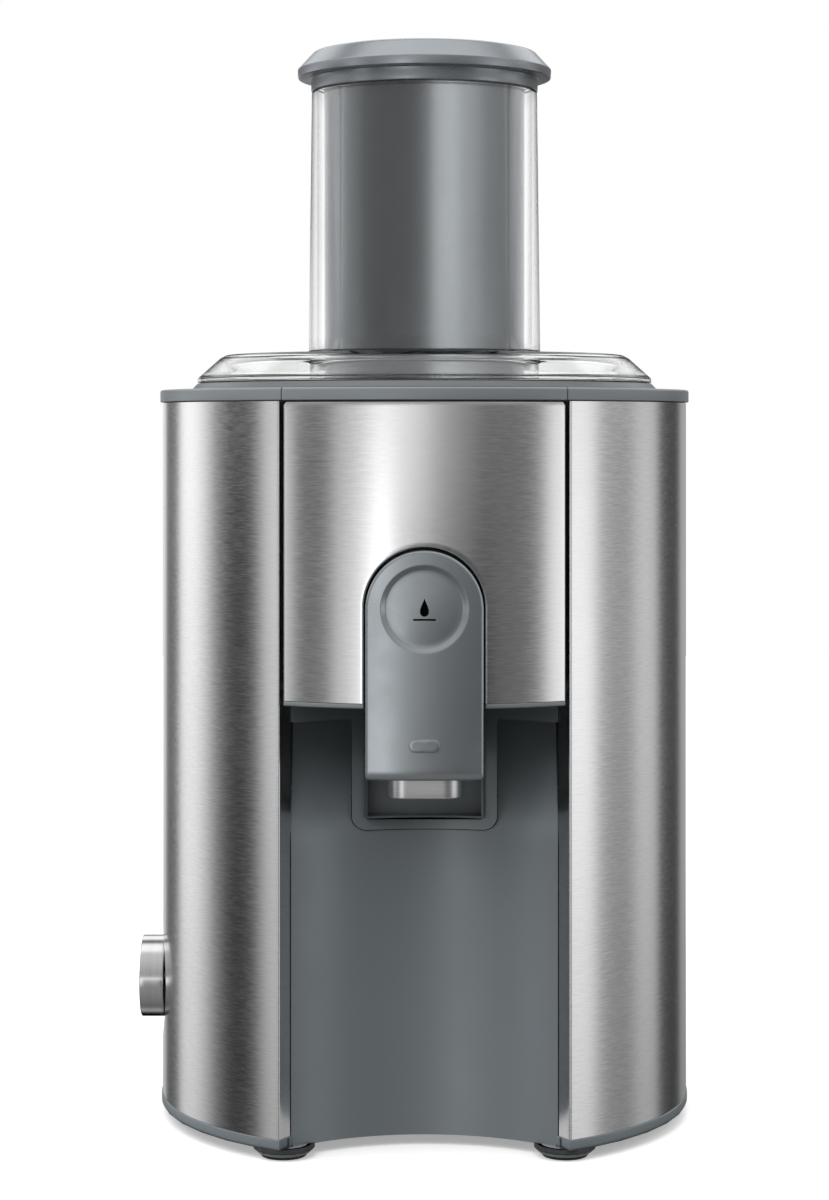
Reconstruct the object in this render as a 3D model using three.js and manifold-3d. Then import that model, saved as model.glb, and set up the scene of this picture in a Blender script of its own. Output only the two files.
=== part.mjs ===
// A centrifugal juicer, built as it comes apart on a bench.
//
// Millimetres, +Z up. The jug side faces -Y, the rotary switch is on the -X side. Every piece is drawn
// about the motor axis (x = 0, y = 0), and the whole group is then moved so that its origin is the
// middle of the bounding box's foot.
//
// From the bottom up: a base tray on four rubber feet carries a round casing of plastic with steel
// skins. A universal motor hangs in it on rubber dampers, and turns a hexagonal coupling above the deck.
// The juice bowl, with the front panel and the tilting spout on it, drops into the casing. The filter
// basket sits on the coupling inside the bowl, and the clear lid with its feed chute covers both of
// them and the pulp container, which stands behind the casing on a pedestal.

import * as THREE from 'three';
import { mergeVertices } from 'three/addons/utils/BufferGeometryUtils.js';
import Module from 'manifold-3d';

const wasm = await Module();
wasm.setup();

// ---------- driving dimensions ----------

const GAP = 0.3; // left between two pieces that touch
const STEEL = 0.8; // sheet steel skins
const WALL = 2.4; // moulded walls

const BODY_R = 100; // outside of the steel casing, about the motor axis
const CASING_BACK_Y = 46; // where the casing's straight sides end
const BACK_Y = 175; // rearmost point of the pulp container
const REAR_ARC_Y = 85; // where the container's sides turn into its rear half-ellipse

const FOOT_CUP_Z = 1.7; // bottom of the cups that hold the rubber feet
const BASE_Z = 4.3; // underside of the base tray
const CASING_Z = 8; // lower edge of the steel skins
const DECK_Z = 158; // underside of the deck above the motor
const DECK = 3; // its thickness
const RIM_Z = 270.1; // underside of the rim on top of the skins
const RIM_TOP_Z = 274.7;
const PEDESTAL_TOP_Z = 40; // what the pulp container stands on

// The bay that the jug stands in: a shallow arc with a steel return at each side.
const BAY_CORNER = new THREE.Vector2(51.5, -85.7); // on the casing's outside
const BAY_END = new THREE.Vector2(47.3, -80); // where the return meets the arc
const BAY_R = 68;
const BAY_CENTRE_Y = -128.1;

// The front panel, part of the lift-out bowl.
const FRONT_HALF_ANGLE = 29.4; // degrees each side of the front
const FRONT_Z = 164.3; // lower edge of its steel
const FASCIA_Z = 162; // lower edge of the plastic behind it

// The spout lever: an arch-topped rocker in a notch of the front panel.
const LEVER_HALF = 21.2;
const LEVER_ARCH_Z = 197.3; // centre of its round top and of its thumb dish
const LEVER_FOOT_Z = 137.6;
const LEVER_FACE_R = 105.6; // its outer face, about the motor axis
const LEVER_GAP = 1; // round it, in the notch
const LEVER_PIN = new THREE.Vector2(-92, 166.5); // y and z of its hinge pin

// Feed chute, pusher and lid.
const CHUTE_TOP_Z = 389;
const CHUTE_FOOT_Z = 197;
const CHUTE_BORE_R = 41.3;
const PUSHER_R = 38.4;
const CAP_TOP_Z = 404.7;
const CAP_R = 48.6;
const LID_R = 86.9;
const LID_FOOT_Z = 278.7;
const LID_TOP_Z = 288;
const LID_REAR_Y = 160;

// Juice bowl and filter.
const BOWL_R = 87.5;
const BOWL_FLOOR_Z = 168;
const BOWL_TOP_Z = 278.4;
const BOWL_RING_R = 89.2;
const FILTER_Z = 187.5; // underside of the grater disc
const FILTER_TOP_Z = 264;
const HEX_R = 11.2; // across the corners of the drive coupling

// Rotary switch.
const KNOB_Z = 50.3;
const KNOB_R = 15.4;
const KNOB_FACE_X = -108.1;
const DISH_R = 23; // the dished ring of steel round the knob
const DISH_DEPTH = 1.3;

// Side latches, which hold the lid's ears.
const LATCH_Y = [26.5, 39.5];
const LATCH_FOOT_Z = 228;
const LATCH_TOP_Z = 268;
const LATCH_PIN = new THREE.Vector2(97, 231.5); // x and z

const FAR = 400; // reaches past everything, for cutting blocks

// ---------- plan curves ----------

const RAD = Math.PI / 180;
const STEP = 9; // degrees of arc between two points
const ROUND = 360 / STEP; // sides of a large round

// A point at r and an angle from the front, positive towards +X.
function polar(r, angle, centreX = 0, centreY = 0) {
  return new THREE.Vector2(centreX + r * Math.sin(angle * RAD), centreY - r * Math.cos(angle * RAD));
}

function arc(r, from, to, centreX = 0, centreY = 0) {
  const count = Math.max(2, Math.ceil(Math.abs(to - from) / STEP));
  const at = (i) => polar(r, from + ((to - from) * i) / count, centreX, centreY);
  return Array.from({ length: count + 1 }, (_, i) => at(i));
}

// Half an ellipse behind (0, y), from its right end round the back to its left end.
function rearArc(halfWidth, depth, y) {
  return arc(1, 90, 270).map((p) => new THREE.Vector2(p.x * halfWidth, y + p.y * depth));
}

// The jug bay's plan, grown into the casing by a distance, and open far to the front.
function bayPlan(grow) {
  const along = BAY_END.clone().sub(BAY_CORNER).normalize();
  const outward = new THREE.Vector2(-along.y, along.x).negate();
  const end = BAY_END.clone().addScaledVector(outward, grow);
  const mouth = end.clone().addScaledVector(along, -30);
  const endAngle = Math.atan2(end.x, -(end.y - BAY_CENTRE_Y)) / RAD;
  const wall = arc(BAY_R + grow, endAngle, 360 - endAngle, 0, BAY_CENTRE_Y);
  const left = (p) => new THREE.Vector2(-p.x, p.y);
  const front = new THREE.Vector2(mouth.x, -FAR);
  return [left(end), left(mouth), left(front), front, mouth, end, ...wall.slice(1, -1)];
}

// The plan behind the casing: pedestal or container. Its front is an arc round the casing.
function rearPlan(inset, frontR, frontY, taper = 0) {
  const halfWidth = BODY_R - inset - taper;
  const tipY = frontY + inset;
  const tipAngle = 180 - Math.acos(tipY / frontR) / RAD;
  return [
    ...arc(frontR, tipAngle, 360 - tipAngle).reverse(),
    new THREE.Vector2(halfWidth, tipY),
    ...rearArc(halfWidth, BACK_Y - REAR_ARC_Y - inset - taper, REAR_ARC_Y),
    new THREE.Vector2(-halfWidth, tipY),
  ];
}

// The lid's plan: round in front, straight sides, half an ellipse behind.
function lidPlan(inset) {
  const r = LID_R - inset;
  const depth = LID_REAR_Y - REAR_ARC_Y - inset;
  return [...arc(r, -90, 90), ...rearArc(r, depth, REAR_ARC_Y)];
}

// An arch-topped outline in x and z, open far below or ending at a foot.
function archPlan(half, centreZ, footZ) {
  return [
    new THREE.Vector2(-half, footZ),
    new THREE.Vector2(half, footZ),
    ...arc(half, 90, 270, 0, centreZ),
  ];
}

// ---------- solids ----------

// A geometry as a manifold-3d solid, with the slivers that a lathe leaves on its axis dropped.
function solid(geometry) {
  const bare = new THREE.BufferGeometry();
  bare.setAttribute('position', geometry.getAttribute('position'));
  if (geometry.index) bare.setIndex(geometry.index);
  const merged = mergeVertices(bare, 1e-4);
  const corners = merged.index.array;
  const triVerts = [];
  for (let i = 0; i < corners.length; i += 3) {
    const [a, b, c] = corners.slice(i, i + 3);
    if (a !== b && b !== c && c !== a) triVerts.push(a, b, c);
  }
  return new wasm.Manifold(new wasm.Mesh({
    numProp: 3,
    vertProperties: merged.attributes.position.array,
    triVerts: new Uint32Array(triVerts),
  }));
}

function join(first, ...others) {
  return others.reduce((all, s) => all.add(s), first);
}

function cut(first, ...others) {
  return others.reduce((all, s) => all.subtract(s), first);
}

function anticlockwise(points) {
  return THREE.ShapeUtils.isClockWise(points) ? [...points].reverse() : points;
}

function extrusion(points, depth) {
  return new THREE.ExtrudeGeometry(new THREE.Shape(anticlockwise(points)), { depth, bevelEnabled: false });
}

function prism(points, z0, z1) {
  return solid(extrusion(points, z1 - z0).translate(0, 0, z0));
}

// An outline in x and z carried along y.
function prismAlongY(points, y0, y1) {
  return solid(extrusion(points, y1 - y0).rotateX(Math.PI / 2).translate(0, y1, 0));
}

function box(x0, x1, y0, y1, z0, z1) {
  const g = new THREE.BoxGeometry(x1 - x0, y1 - y0, z1 - z0);
  return solid(g.translate((x0 + x1) / 2, (y0 + y1) / 2, (z0 + z1) / 2));
}

function cylinder(r, z0, z1, x = 0, y = 0, sides = 24) {
  const g = new THREE.CylinderGeometry(r, r, z1 - z0, sides).rotateX(Math.PI / 2);
  return solid(g.translate(x, y, (z0 + z1) / 2));
}

function cylinderAlongX(r, x0, x1, y, z, sides = 20) {
  const g = new THREE.CylinderGeometry(r, r, x1 - x0, sides).rotateZ(Math.PI / 2);
  return solid(g.translate((x0 + x1) / 2, y, z));
}

function cylinderAlongY(r, y0, y1, x, z, sides = 20) {
  const g = new THREE.CylinderGeometry(r, r, y1 - y0, sides);
  return solid(g.translate(x, (y0 + y1) / 2, z));
}

// A profile of [r, z] pairs turned about the motor axis, either closed or from axis to axis. It runs
// anticlockwise with r to the right and z up: along the underside, up the outside, and back.
function turned(profile, sides = ROUND) {
  const points = profile.map(([r, z]) => new THREE.Vector2(r, z));
  if (points[0].x > 0) points.push(points[0].clone());
  return solid(new THREE.LatheGeometry(points, sides).rotateX(Math.PI / 2));
}

function ring(inner, outer, z0, z1, sides = 32) {
  return turned([[inner, z0], [outer, z0], [outer, z1], [inner, z1]], sides);
}

// A solid through plans of equal point count, each at its own height, lowest first.
function loft(sections) {
  const plans = sections.map(([points]) => anticlockwise(points));
  const count = plans[0].length;
  const positions = sections.flatMap(([, z], k) => plans[k].flatMap((p) => [p.x, p.y, z]));
  const index = [];
  for (let k = 0; k + 1 < sections.length; k++) {
    for (let i = 0; i < count; i++) {
      const a = k * count + i;
      const b = k * count + ((i + 1) % count);
      index.push(a, b, b + count, a, b + count, a + count);
    }
  }
  const top = (sections.length - 1) * count;
  for (const [a, b, c] of THREE.ShapeUtils.triangulateShape(plans[0], [])) index.push(a, c, b);
  for (const corners of THREE.ShapeUtils.triangulateShape(plans.at(-1), [])) {
    index.push(...corners.map((i) => top + i));
  }
  const g = new THREE.BufferGeometry();
  g.setAttribute('position', new THREE.Float32BufferAttribute(positions, 3));
  return solid(g.setIndex(index));
}

// The casing's plan as a block: a disc, and a rectangle for its straight sides.
function casingBlock(inset, z0, z1) {
  const r = BODY_R - inset;
  return join(cylinder(r, z0, z1, 0, 0, ROUND), box(-r, r, 0, CASING_BACK_Y - inset, z0, z1));
}

// Everything between two angles from the front.
function sector(from, to, z0, z1) {
  return prism([new THREE.Vector2(0, 0), ...arc(FAR, from, to)], z0, z1);
}

function frontSector(halfAngle, z0, z1) {
  return sector(-halfAngle, halfAngle, z0, z1);
}

function archBlock(half, footZ, y0, y1) {
  return prismAlongY(archPlan(half, LEVER_ARCH_Z, footZ), y0, y1);
}

// ---------- materials ----------

const finish = (color, roughness, metalness, more = {}) =>
  new THREE.MeshStandardMaterial({ color, roughness, metalness, ...more });

const MATERIALS = {
  steel: finish(0xb9babb, 0.34, 1),
  greyPlastic: finish(0x72787d, 0.42, 0),
  pusherPlastic: finish(0x6f747b, 0.25, 0),
  darkPlastic: finish(0x34383b, 0.5, 0),
  smokedPlastic: finish(0x54595e, 0.2, 0, { transparent: true, opacity: 0.8 }),
  clearPlastic: finish(0xf4f8f8, 0.05, 0, { transparent: true, opacity: 0.3 }),
  rubber: finish(0x17181a, 0.8, 0),
  filterSteel: finish(0xc4c6c8, 0.28, 1),
  laminations: finish(0x6c6f72, 0.6, 0.8),
  copper: finish(0xb4652f, 0.4, 1),
  board: finish(0x2f6b3c, 0.6, 0),
  screwSteel: finish(0x9a9da0, 0.35, 1),
};

const root = new THREE.Group();

function add(name, shape, material) {
  const { vertProperties, triVerts } = shape.getMesh();
  const g = new THREE.BufferGeometry();
  g.setAttribute('position', new THREE.BufferAttribute(new Float32Array(vertProperties), 3));
  g.setIndex(new THREE.BufferAttribute(new Uint32Array(triVerts), 1));
  g.computeVertexNormals();
  const mesh = new THREE.Mesh(g, MATERIALS[material]);
  mesh.name = name;
  root.add(mesh);
  return mesh;
}

const SIDES = [['left', -1], ['right', 1]];

// A pair of distances carried to one side of the middle, lowest first.
function onSide(side, span) {
  return span.map((v) => v * side).sort((a, b) => a - b);
}

// ---------- base tray, feet and screws ----------

const FOOT_CUP_R = 11.1;
const FOOT_PAD_R = 8.3;
const FOOT_SIDES = 16;
const FEET = [
  ['front_left', -50.3, -73.8],
  ['front_right', 50.3, -73.8],
  ['rear_left', -62, 132],
  ['rear_right', 62, 132],
];
const SCREW_R = 92.5; // from the motor axis
const SCREWS = [-75, 75, -150, 150].map((angle) => polar(SCREW_R, angle));
const BOARD_X = 60; // inner face of the control board
const BOARD = 1.6; // its thickness
const BOARD_Y = [-22, 44];
const BOARD_FOOT_Z = 12;

function footCup(x, y) {
  const profile = [[0, FOOT_CUP_Z], [8.9, FOOT_CUP_Z], [FOOT_CUP_R, 3], [FOOT_CUP_R, 6], [0, 6]];
  return turned(profile, FOOT_SIDES).translate([x, y, 0]);
}

function baseTray() {
  const bay = prism(bayPlan(0), BASE_Z, 20);
  const wallSeat = prism(bayPlan(WALL + GAP), BASE_Z, 20).intersect(box(-50, 50, -81, 0, 0, 20));
  const plate = join(
    casingBlock(0, BASE_Z, CASING_Z),
    prism(rearPlan(0, BODY_R - 5, CASING_BACK_Y - 6), BASE_Z, CASING_Z),
    box(BOARD_X - 2, BOARD_X + BOARD + 2, ...BOARD_Y, 7, BOARD_FOOT_Z + 4),
  );
  const cups = FEET.map(([, x, y]) => footCup(x, y));
  const padSeats = FEET.map(([, x, y]) => cylinder(FOOT_PAD_R + GAP, 0, BASE_Z, x, y, FOOT_SIDES));
  const vents = [-3, -2, -1, 0, 1, 2, 3].map((i) => box(-26, 26, i * 8 - 2, i * 8 + 2, 0, 20));
  const screwSeats = SCREWS.flatMap((p) => [
    cylinder(4.2, 0, 6.4, p.x, p.y, 10),
    cylinder(2.3, 0, 20, p.x, p.y, 8),
  ]);
  const boardSlot = box(BOARD_X - GAP, BOARD_X + BOARD + GAP, -FAR, FAR, BOARD_FOOT_Z - GAP, FAR);
  const boardSeat = boardSlot.intersect(box(0, FAR, BOARD_Y[0], BOARD_Y[1], 0, FAR));
  return cut(join(plate, ...cups), bay, wallSeat, ...padSeats, ...vents, ...screwSeats, boardSeat);
}

function footPad(x, y) {
  const top = BASE_Z - GAP;
  const profile = [[0, 0], [FOOT_PAD_R - 0.6, 0], [FOOT_PAD_R, 0.6], [FOOT_PAD_R, top], [0, top]];
  return turned(profile, FOOT_SIDES).translate([x, y, 0]);
}

function baseScrew(p) {
  return join(cylinder(3.9, 4.7, 6.1, p.x, p.y, 10), cylinder(2, 6, 16, p.x, p.y, 8));
}

// ---------- casing ----------

const LINING = STEEL + GAP; // how far the moulded casing stands inside the skins
const CAVITY = LINING + WALL; // and its inner face
const REAR_TOP_Z = 258; // top of the casing's rear wall, under the pulp duct
const PLUNGER = new THREE.Vector2(82, 40); // x and y of the lid interlock
const PLUNGER_HOLE_R = 2.4;
const DAMPERS = [60, 180, 300].map((angle) => polar(50, angle));
const DAMPER_Z = [126.3, 139.7];

function latchOpening(side) {
  const y = [LATCH_Y[0] - 0.5, LATCH_Y[1] + 0.5];
  return box(...onSide(side, [92, FAR]), ...y, LATCH_FOOT_Z - 0.5, LATCH_TOP_Z + 0.7);
}

function latchBearing(side) {
  return cylinderAlongY(1.8, LATCH_Y[0] - 2.3, LATCH_Y[1] + 2.3, side * LATCH_PIN.x, LATCH_PIN.y, 12);
}

function motorHousing() {
  const top = RIM_Z - GAP;
  const foot = CASING_Z + GAP;
  const wall = cut(casingBlock(LINING, foot, top), casingBlock(CAVITY, 0, FAR));
  const deck = casingBlock(LINING, DECK_Z, DECK_Z + DECK);
  const screwBosses = SCREWS.map((p) => cylinder(5.5, foot, 24, p.x, p.y, 10));
  const damperBosses = DAMPERS.map((p) => cylinder(7, DAMPER_Z[1] + GAP, DECK_Z + 1, p.x, p.y, 10));
  const sealSeat = cylinder(SEAL_R + 2.5, DECK_Z - 3, DECK_Z + DECK, 0, 0, 24);
  const body = join(wall, deck, ...screwBosses, ...damperBosses, sealSeat);
  const dish = cylinderAlongX(DISH_R + GAP, -FAR, 0, 0, KNOB_Z, 32);
  return cut(
    body,
    prism(bayPlan(WALL + GAP), 0, FAR),
    box(-FAR, FAR, CASING_BACK_Y, FAR, REAR_TOP_Z, FAR),
    cut(dish, casingBlock(DISH_DEPTH + STEEL + GAP, 0, FAR)),
    cylinderAlongX(STEM_R + 1, -FAR, -50, 0, KNOB_Z),
    cylinder(SEAL_R + GAP, DECK_Z - 0.5, FAR, 0, 0, 24),
    cylinder(SEAL_R - 2, 0, FAR, 0, 0, 24),
    cylinder(PLUNGER_HOLE_R, 100, FAR, PLUNGER.x, PLUNGER.y, 12),
    box(-POCKET_HALF - 2.5, POCKET_HALF + 2.5, -FAR, POCKET_BACK_Y + 2.5, 0, FAR),
    ...SCREWS.map((p) => cylinder(2.3, 0, 18, p.x, p.y, 8)),
    ...SIDES.flatMap(([, side]) => [latchOpening(side), latchBearing(side)]),
  );
}

function sidePanels() {
  const foot = CASING_Z + GAP;
  const top = RIM_Z - GAP;
  const block = casingBlock(0, foot, top);
  const skin = cut(block, casingBlock(STEEL, 0, FAR), prism(bayPlan(STEEL / 2), 0, FAR));
  const bayReturn = cut(prism(bayPlan(STEEL), foot, top), prism(bayPlan(0), 0, FAR))
    .intersect(block)
    .intersect(box(-FAR, FAR, -FAR, BAY_END.y, 0, FAR));
  const both = cut(
    join(skin, bayReturn),
    box(-FAR, FAR, CASING_BACK_Y - 0.6, FAR, 0, FAR),
    ...SIDES.map(([, side]) => latchOpening(side)),
  );
  const dish = cylinderAlongX(DISH_R, -FAR, 0, 0, KNOB_Z, 32);
  const dishFloor = cylinderAlongX(DISH_R - STEEL, -FAR, 0, 0, KNOB_Z, 32);
  const deep = cut(block, casingBlock(DISH_DEPTH + STEEL, 0, FAR)).intersect(dish);
  const pressed = cut(deep, cut(dishFloor, casingBlock(DISH_DEPTH, 0, FAR)));
  const stemHole = cylinderAlongX(STEM_R + 1, -FAR, 0, 0, KNOB_Z);
  const left = both.intersect(box(-FAR, 0, -FAR, FAR, 0, FAR));
  return {
    left: cut(join(cut(left, dish), pressed), stemHole),
    right: both.intersect(box(0, FAR, -FAR, FAR, 0, FAR)),
  };
}

// The moulded rim on top of the skins, which the lid's flange rests over.
function rim(side) {
  return cut(
    casingBlock(-1, RIM_Z, RIM_TOP_Z).intersect(box(...onSide(side, [0, FAR]), -FAR, CASING_BACK_Y, 0, FAR)),
    cylinder(BOWL_RING_R + GAP, 0, FAR, 0, 0, ROUND),
    frontSector(FRONT_HALF_ANGLE + 0.25, 0, FAR),
    cylinder(PLUNGER_HOLE_R, 0, FAR, PLUNGER.x, PLUNGER.y, 12),
  );
}

// ---------- jug bay ----------

const LIP_Z = 155.6; // above it the wall of the bay stands a little further forward
const BAY_TOP_Z = DECK_Z + DECK;
const BEZEL_HALF = 26.9;
const BEZEL_FOOT_Z = 114.7;
const POCKET_HALF = 21.3;
const POCKET_FLOOR_Z = 119.1;
const POCKET_BACK_Y = -50;
const POCKET_WALL = 1.6;

// The bay's curved wall, from one depth behind its face to another.
function bayShell(front, back, z0, z1) {
  const band = cut(prism(bayPlan(back), z0, z1), prism(bayPlan(front), z0, z1));
  return band.intersect(box(-50, 50, BAY_END.y + 0.3, 0, z0, z1));
}

function bezelBlock(grow) {
  const half = BEZEL_HALF + grow;
  const foot = BEZEL_FOOT_Z - grow;
  const r = 5;
  const corner = (x, from, to) => arc(r, from, to, x, foot + r);
  const outline = [
    new THREE.Vector2(half, BAY_TOP_Z + 1),
    new THREE.Vector2(-half, BAY_TOP_Z + 1),
    ...corner(-half + r, 270, 360),
    ...corner(half - r, 0, 90),
  ];
  return prismAlongY(outline, -FAR, 0);
}

function nicheWall() {
  const wall = join(
    bayShell(0, WALL, BASE_Z, BAY_TOP_Z),
    bayShell(-0.7, WALL, LIP_Z, BAY_TOP_Z),
  );
  return cut(wall, bezelBlock(0.4));
}

function spoutBezel() {
  const face = bayShell(-0.7, WALL, BEZEL_FOOT_Z, BAY_TOP_Z).intersect(bezelBlock(0));
  const half = POCKET_HALF + POCKET_WALL;
  const back = POCKET_BACK_Y + POCKET_WALL;
  const outside = box(-half, half, -70, back, POCKET_FLOOR_Z - POCKET_WALL, BAY_TOP_Z);
  const behind = cut(outside, prism(bayPlan(0), 0, FAR));
  const pocket = box(-POCKET_HALF, POCKET_HALF, -FAR, POCKET_BACK_Y, POCKET_FLOOR_Z, FAR);
  return cut(join(face, behind), pocket);
}

// ---------- motor ----------

const SHAFT_R = 5;
const BORE = SHAFT_R + GAP;
const SHAFT_TOP_Z = 178;
const SEAL_R = 14;
const STATOR_Z = [62, 108];
const COIL_X = [23.5, 30];
const COIL_Y = [14, 20];
const COIL_REACH = 8; // of the end turns past the laminations
const ROTOR_R = 21.7;
const COMMUTATOR_Z = [109.5, 119.5];
const COMMUTATOR_R = 11;
const BRACKET_R = 40;
const UPPER_BRACKET_Z = 122;
const LOWER_BRACKET_Z = 40;
const PLATE = 4; // thickness of the motor brackets
const BEARING_R = 11;
const BEARING = 7;
const LEG_Y = [28, 34];
const FAN_Z = 26;
const FAN_R = 36;

function statorCore() {
  const [z0, z1] = STATOR_Z;
  const slots = SIDES.flatMap(([, side]) => SIDES.map(([, end]) => {
    const x = onSide(side, [COIL_X[0] - GAP, COIL_X[1] + GAP]);
    const y = onSide(end, [COIL_Y[0] - GAP, COIL_Y[1] + GAP]);
    return box(...x, ...y, 0, FAR);
  }));
  const core = cylinder(42, z0, z1, 0, 0, 32).intersect(box(-40, 40, -36, 36, z0, z1));
  return cut(core, cylinder(ROTOR_R + 0.6, 0, FAR), ...slots);
}

function fieldCoil(side) {
  const [z0, z1] = STATOR_Z;
  const outer = box(...onSide(side, COIL_X), -COIL_Y[1], COIL_Y[1], z0 - COIL_REACH, z1 + COIL_REACH);
  return cut(outer, box(-FAR, FAR, -COIL_Y[0], COIL_Y[0], z0 - GAP, z1 + GAP));
}

function bracketLegs(span, z0, z1) {
  return SIDES.map(([, side]) => box(-8, 8, ...onSide(side, span), z0, z1));
}

function upperBracket() {
  const z = UPPER_BRACKET_Z;
  const arms = DAMPERS.map((p) => {
    const across = new THREE.Vector2(-p.y, p.x).setLength(5);
    const outline = [p.clone().add(across), p.clone().sub(across), across.clone().negate(), across];
    return join(cylinder(7, z, z + PLATE, p.x, p.y, 12), prism(outline, z, z + PLATE));
  });
  const seat = cylinder(BEARING_R + 3.5, z, z + PLATE + BEARING + 2, 0, 0, 24);
  const plate = cylinder(30, z, z + PLATE, 0, 0, 32).intersect(box(-14, 14, -FAR, FAR, 0, FAR));
  const legs = [
    ...bracketLegs([24, LEG_Y[1]], z, z + PLATE),
    ...bracketLegs(LEG_Y, STATOR_Z[1] + GAP, z + 1),
  ];
  return cut(
    join(plate, seat, ...arms, ...legs),
    cylinder(BEARING_R + GAP, z + PLATE, FAR, 0, 0, 24),
    cylinder(SHAFT_R + 2, 0, FAR, 0, 0, 24),
  );
}

function lowerBracket() {
  const z = LOWER_BRACKET_Z;
  const plate = cylinder(BRACKET_R, z, z + PLATE, 0, 0, 32);
  const seat = cylinder(BEARING_R + 3.5, z, z + PLATE + BEARING + 1, 0, 0, 24);
  const windows = [45, 135, 225, 315].map((angle) => {
    const p = polar(27, angle);
    return cylinder(8.5, 0, FAR, p.x, p.y, 12);
  });
  return cut(
    join(plate, seat, ...bracketLegs(LEG_Y, z, STATOR_Z[0] - GAP)),
    cylinder(BEARING_R + GAP, z + PLATE, FAR, 0, 0, 24),
    cylinder(SHAFT_R + 2, 0, FAR, 0, 0, 24),
    ...windows,
  );
}

function bearing(foot) {
  return ring(BORE, BEARING_R, foot + GAP, foot + BEARING, 20);
}

function brushHolder(side) {
  const y = onSide(side, [COMMUTATOR_R + GAP, LEG_Y[0] - GAP]);
  return box(-4, 4, ...y, COMMUTATOR_Z[0] + 1, COMMUTATOR_Z[1] - 1);
}

function coolingFan() {
  const plate = cylinder(FAN_R, FAN_Z, FAN_Z + 1.6, 0, 0, 32);
  const hub = cylinder(9, FAN_Z, FAN_Z + 11, 0, 0, 24);
  const blade = () => box(8, FAN_R - 1, -0.8, 0.8, FAN_Z + 1, FAN_Z + 9);
  const blades = Array.from({ length: 8 }, (_, i) => blade().rotate([0, 0, i * 45]));
  return cut(join(plate, hub, ...blades), cylinder(BORE, 0, FAR, 0, 0, 24));
}

function driveCoupling() {
  const hexagon = cylinder(HEX_R, 163, SHAFT_TOP_Z + 6, 0, 0, 6);
  const collar = cylinder(13, 163, 165, 0, 0, 24);
  return cut(join(hexagon, collar), cylinder(BORE, 0, SHAFT_TOP_Z + GAP, 0, 0, 24));
}

function shaftSeal() {
  const inner = SHAFT_R + 0.4;
  const profile = [[inner, 159], [SEAL_R, DECK_Z], [SEAL_R, 161.6], [SHAFT_R + 3, 162.4], [inner, 161.4]];
  return turned(profile, 24);
}

function controlBoard() {
  const board = box(BOARD_X, BOARD_X + BOARD, BOARD_Y[0] + 1, BOARD_Y[1] - 1, BOARD_FOOT_Z, 84);
  const capacitor = cylinderAlongX(6, BOARD_X - 12, BOARD_X + 0.5, 30, 66, 16);
  const triac = box(BOARD_X + BOARD - 0.2, BOARD_X + 8, -16, 6, 58, 80);
  const choke = cylinderAlongX(9, BOARD_X + BOARD - 0.2, BOARD_X + 12, 24, 40, 16);
  return join(board, capacitor, triac, choke);
}

// ---------- controls ----------

const STEM_R = 3;
const STEM_END_X = -86;
const INTERLOCK_Z = [132, 147.7];
const INLET_Z = 22;
const INLET_END_Y = BACK_Y + 1;

function rotarySwitch() {
  const body = box(-94, -66, -14, 14, KNOB_Z - 14, KNOB_Z + 14);
  const collar = cylinderAlongX(8, -95.8, -93, 0, KNOB_Z);
  const lugs = [-8, 0, 8].map((y) => box(-67, -60, y - 1.5, y + 1.5, KNOB_Z - 8, KNOB_Z - 7));
  return cut(join(body, collar, ...lugs), cylinderAlongX(STEM_R + GAP, -FAR, STEM_END_X + GAP, 0, KNOB_Z));
}

function switchKnob() {
  const back = -BODY_R + DISH_DEPTH - GAP;
  const face = new THREE.LatheGeometry([
    [0, KNOB_FACE_X], [KNOB_R - 1, KNOB_FACE_X], [KNOB_R, KNOB_FACE_X + 1], [KNOB_R, back], [0, back],
  ].map(([r, x]) => new THREE.Vector2(r, x)), 40).rotateZ(-Math.PI / 2).translate(0, 0, KNOB_Z);
  return join(solid(face), cylinderAlongX(STEM_R, back - 0.5, STEM_END_X, 0, KNOB_Z));
}

function interlockSwitch() {
  return box(PLUNGER.x - 8, PLUNGER.x + 8, PLUNGER.y - 7, PLUNGER.y + 2.2, ...INTERLOCK_Z);
}

function interlockPlunger() {
  const foot = INTERLOCK_Z[1] + GAP;
  const stem = cylinder(2, foot, BOWL_TOP_Z, PLUNGER.x, PLUNGER.y, 12);
  return join(stem, cylinder(3.6, 166, 168, PLUNGER.x, PLUNGER.y, 12));
}

function cordInlet() {
  const barrel = cylinderAlongY(5.5, BACK_Y - 8, INLET_END_Y, 0, INLET_Z);
  const flange = cylinderAlongY(8, BACK_Y + GAP, INLET_END_Y, 0, INLET_Z);
  const nut = cylinderAlongY(8, BACK_Y - 8, BACK_Y - WALL - 0.9, 0, INLET_Z, 6);
  return cut(join(barrel, flange, nut), cylinderAlongY(3.6, 0, FAR, 0, INLET_Z, 16));
}

function latch(side) {
  const slab = box(96.6, BODY_R, ...LATCH_Y, LATCH_PIN.y, LATCH_TOP_Z);
  const nose = box(92.4, 97, ...LATCH_Y, 262, 265.5);
  const knuckle = cylinderAlongY(3, ...LATCH_Y, LATCH_PIN.x, LATCH_PIN.y, 20);
  const pin = cylinderAlongY(1.5, LATCH_Y[0] - 1.8, LATCH_Y[1] + 1.8, LATCH_PIN.x, LATCH_PIN.y, 12);
  const grip = box(99, FAR, LATCH_Y[0] + 2, LATCH_Y[1] - 2, 252, 264);
  const whole = cut(join(slab, nose, knuckle, pin), grip);
  return side > 0 ? whole : whole.mirror([1, 0, 0]);
}

// ---------- juice bowl, front panel and spout ----------

const DUCT_HALF_ANGLE = 38; // of the pulp duct behind the bowl
const DUCT_Z = 262; // its floor
const DUCT_R = BODY_R + 0.7; // where it ends
const PORT = { half: 11, front: -82, back: -70, foot: 160.8 };
const FRONT_SIDES = 96; // of the rings that the front panel is cut from

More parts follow.
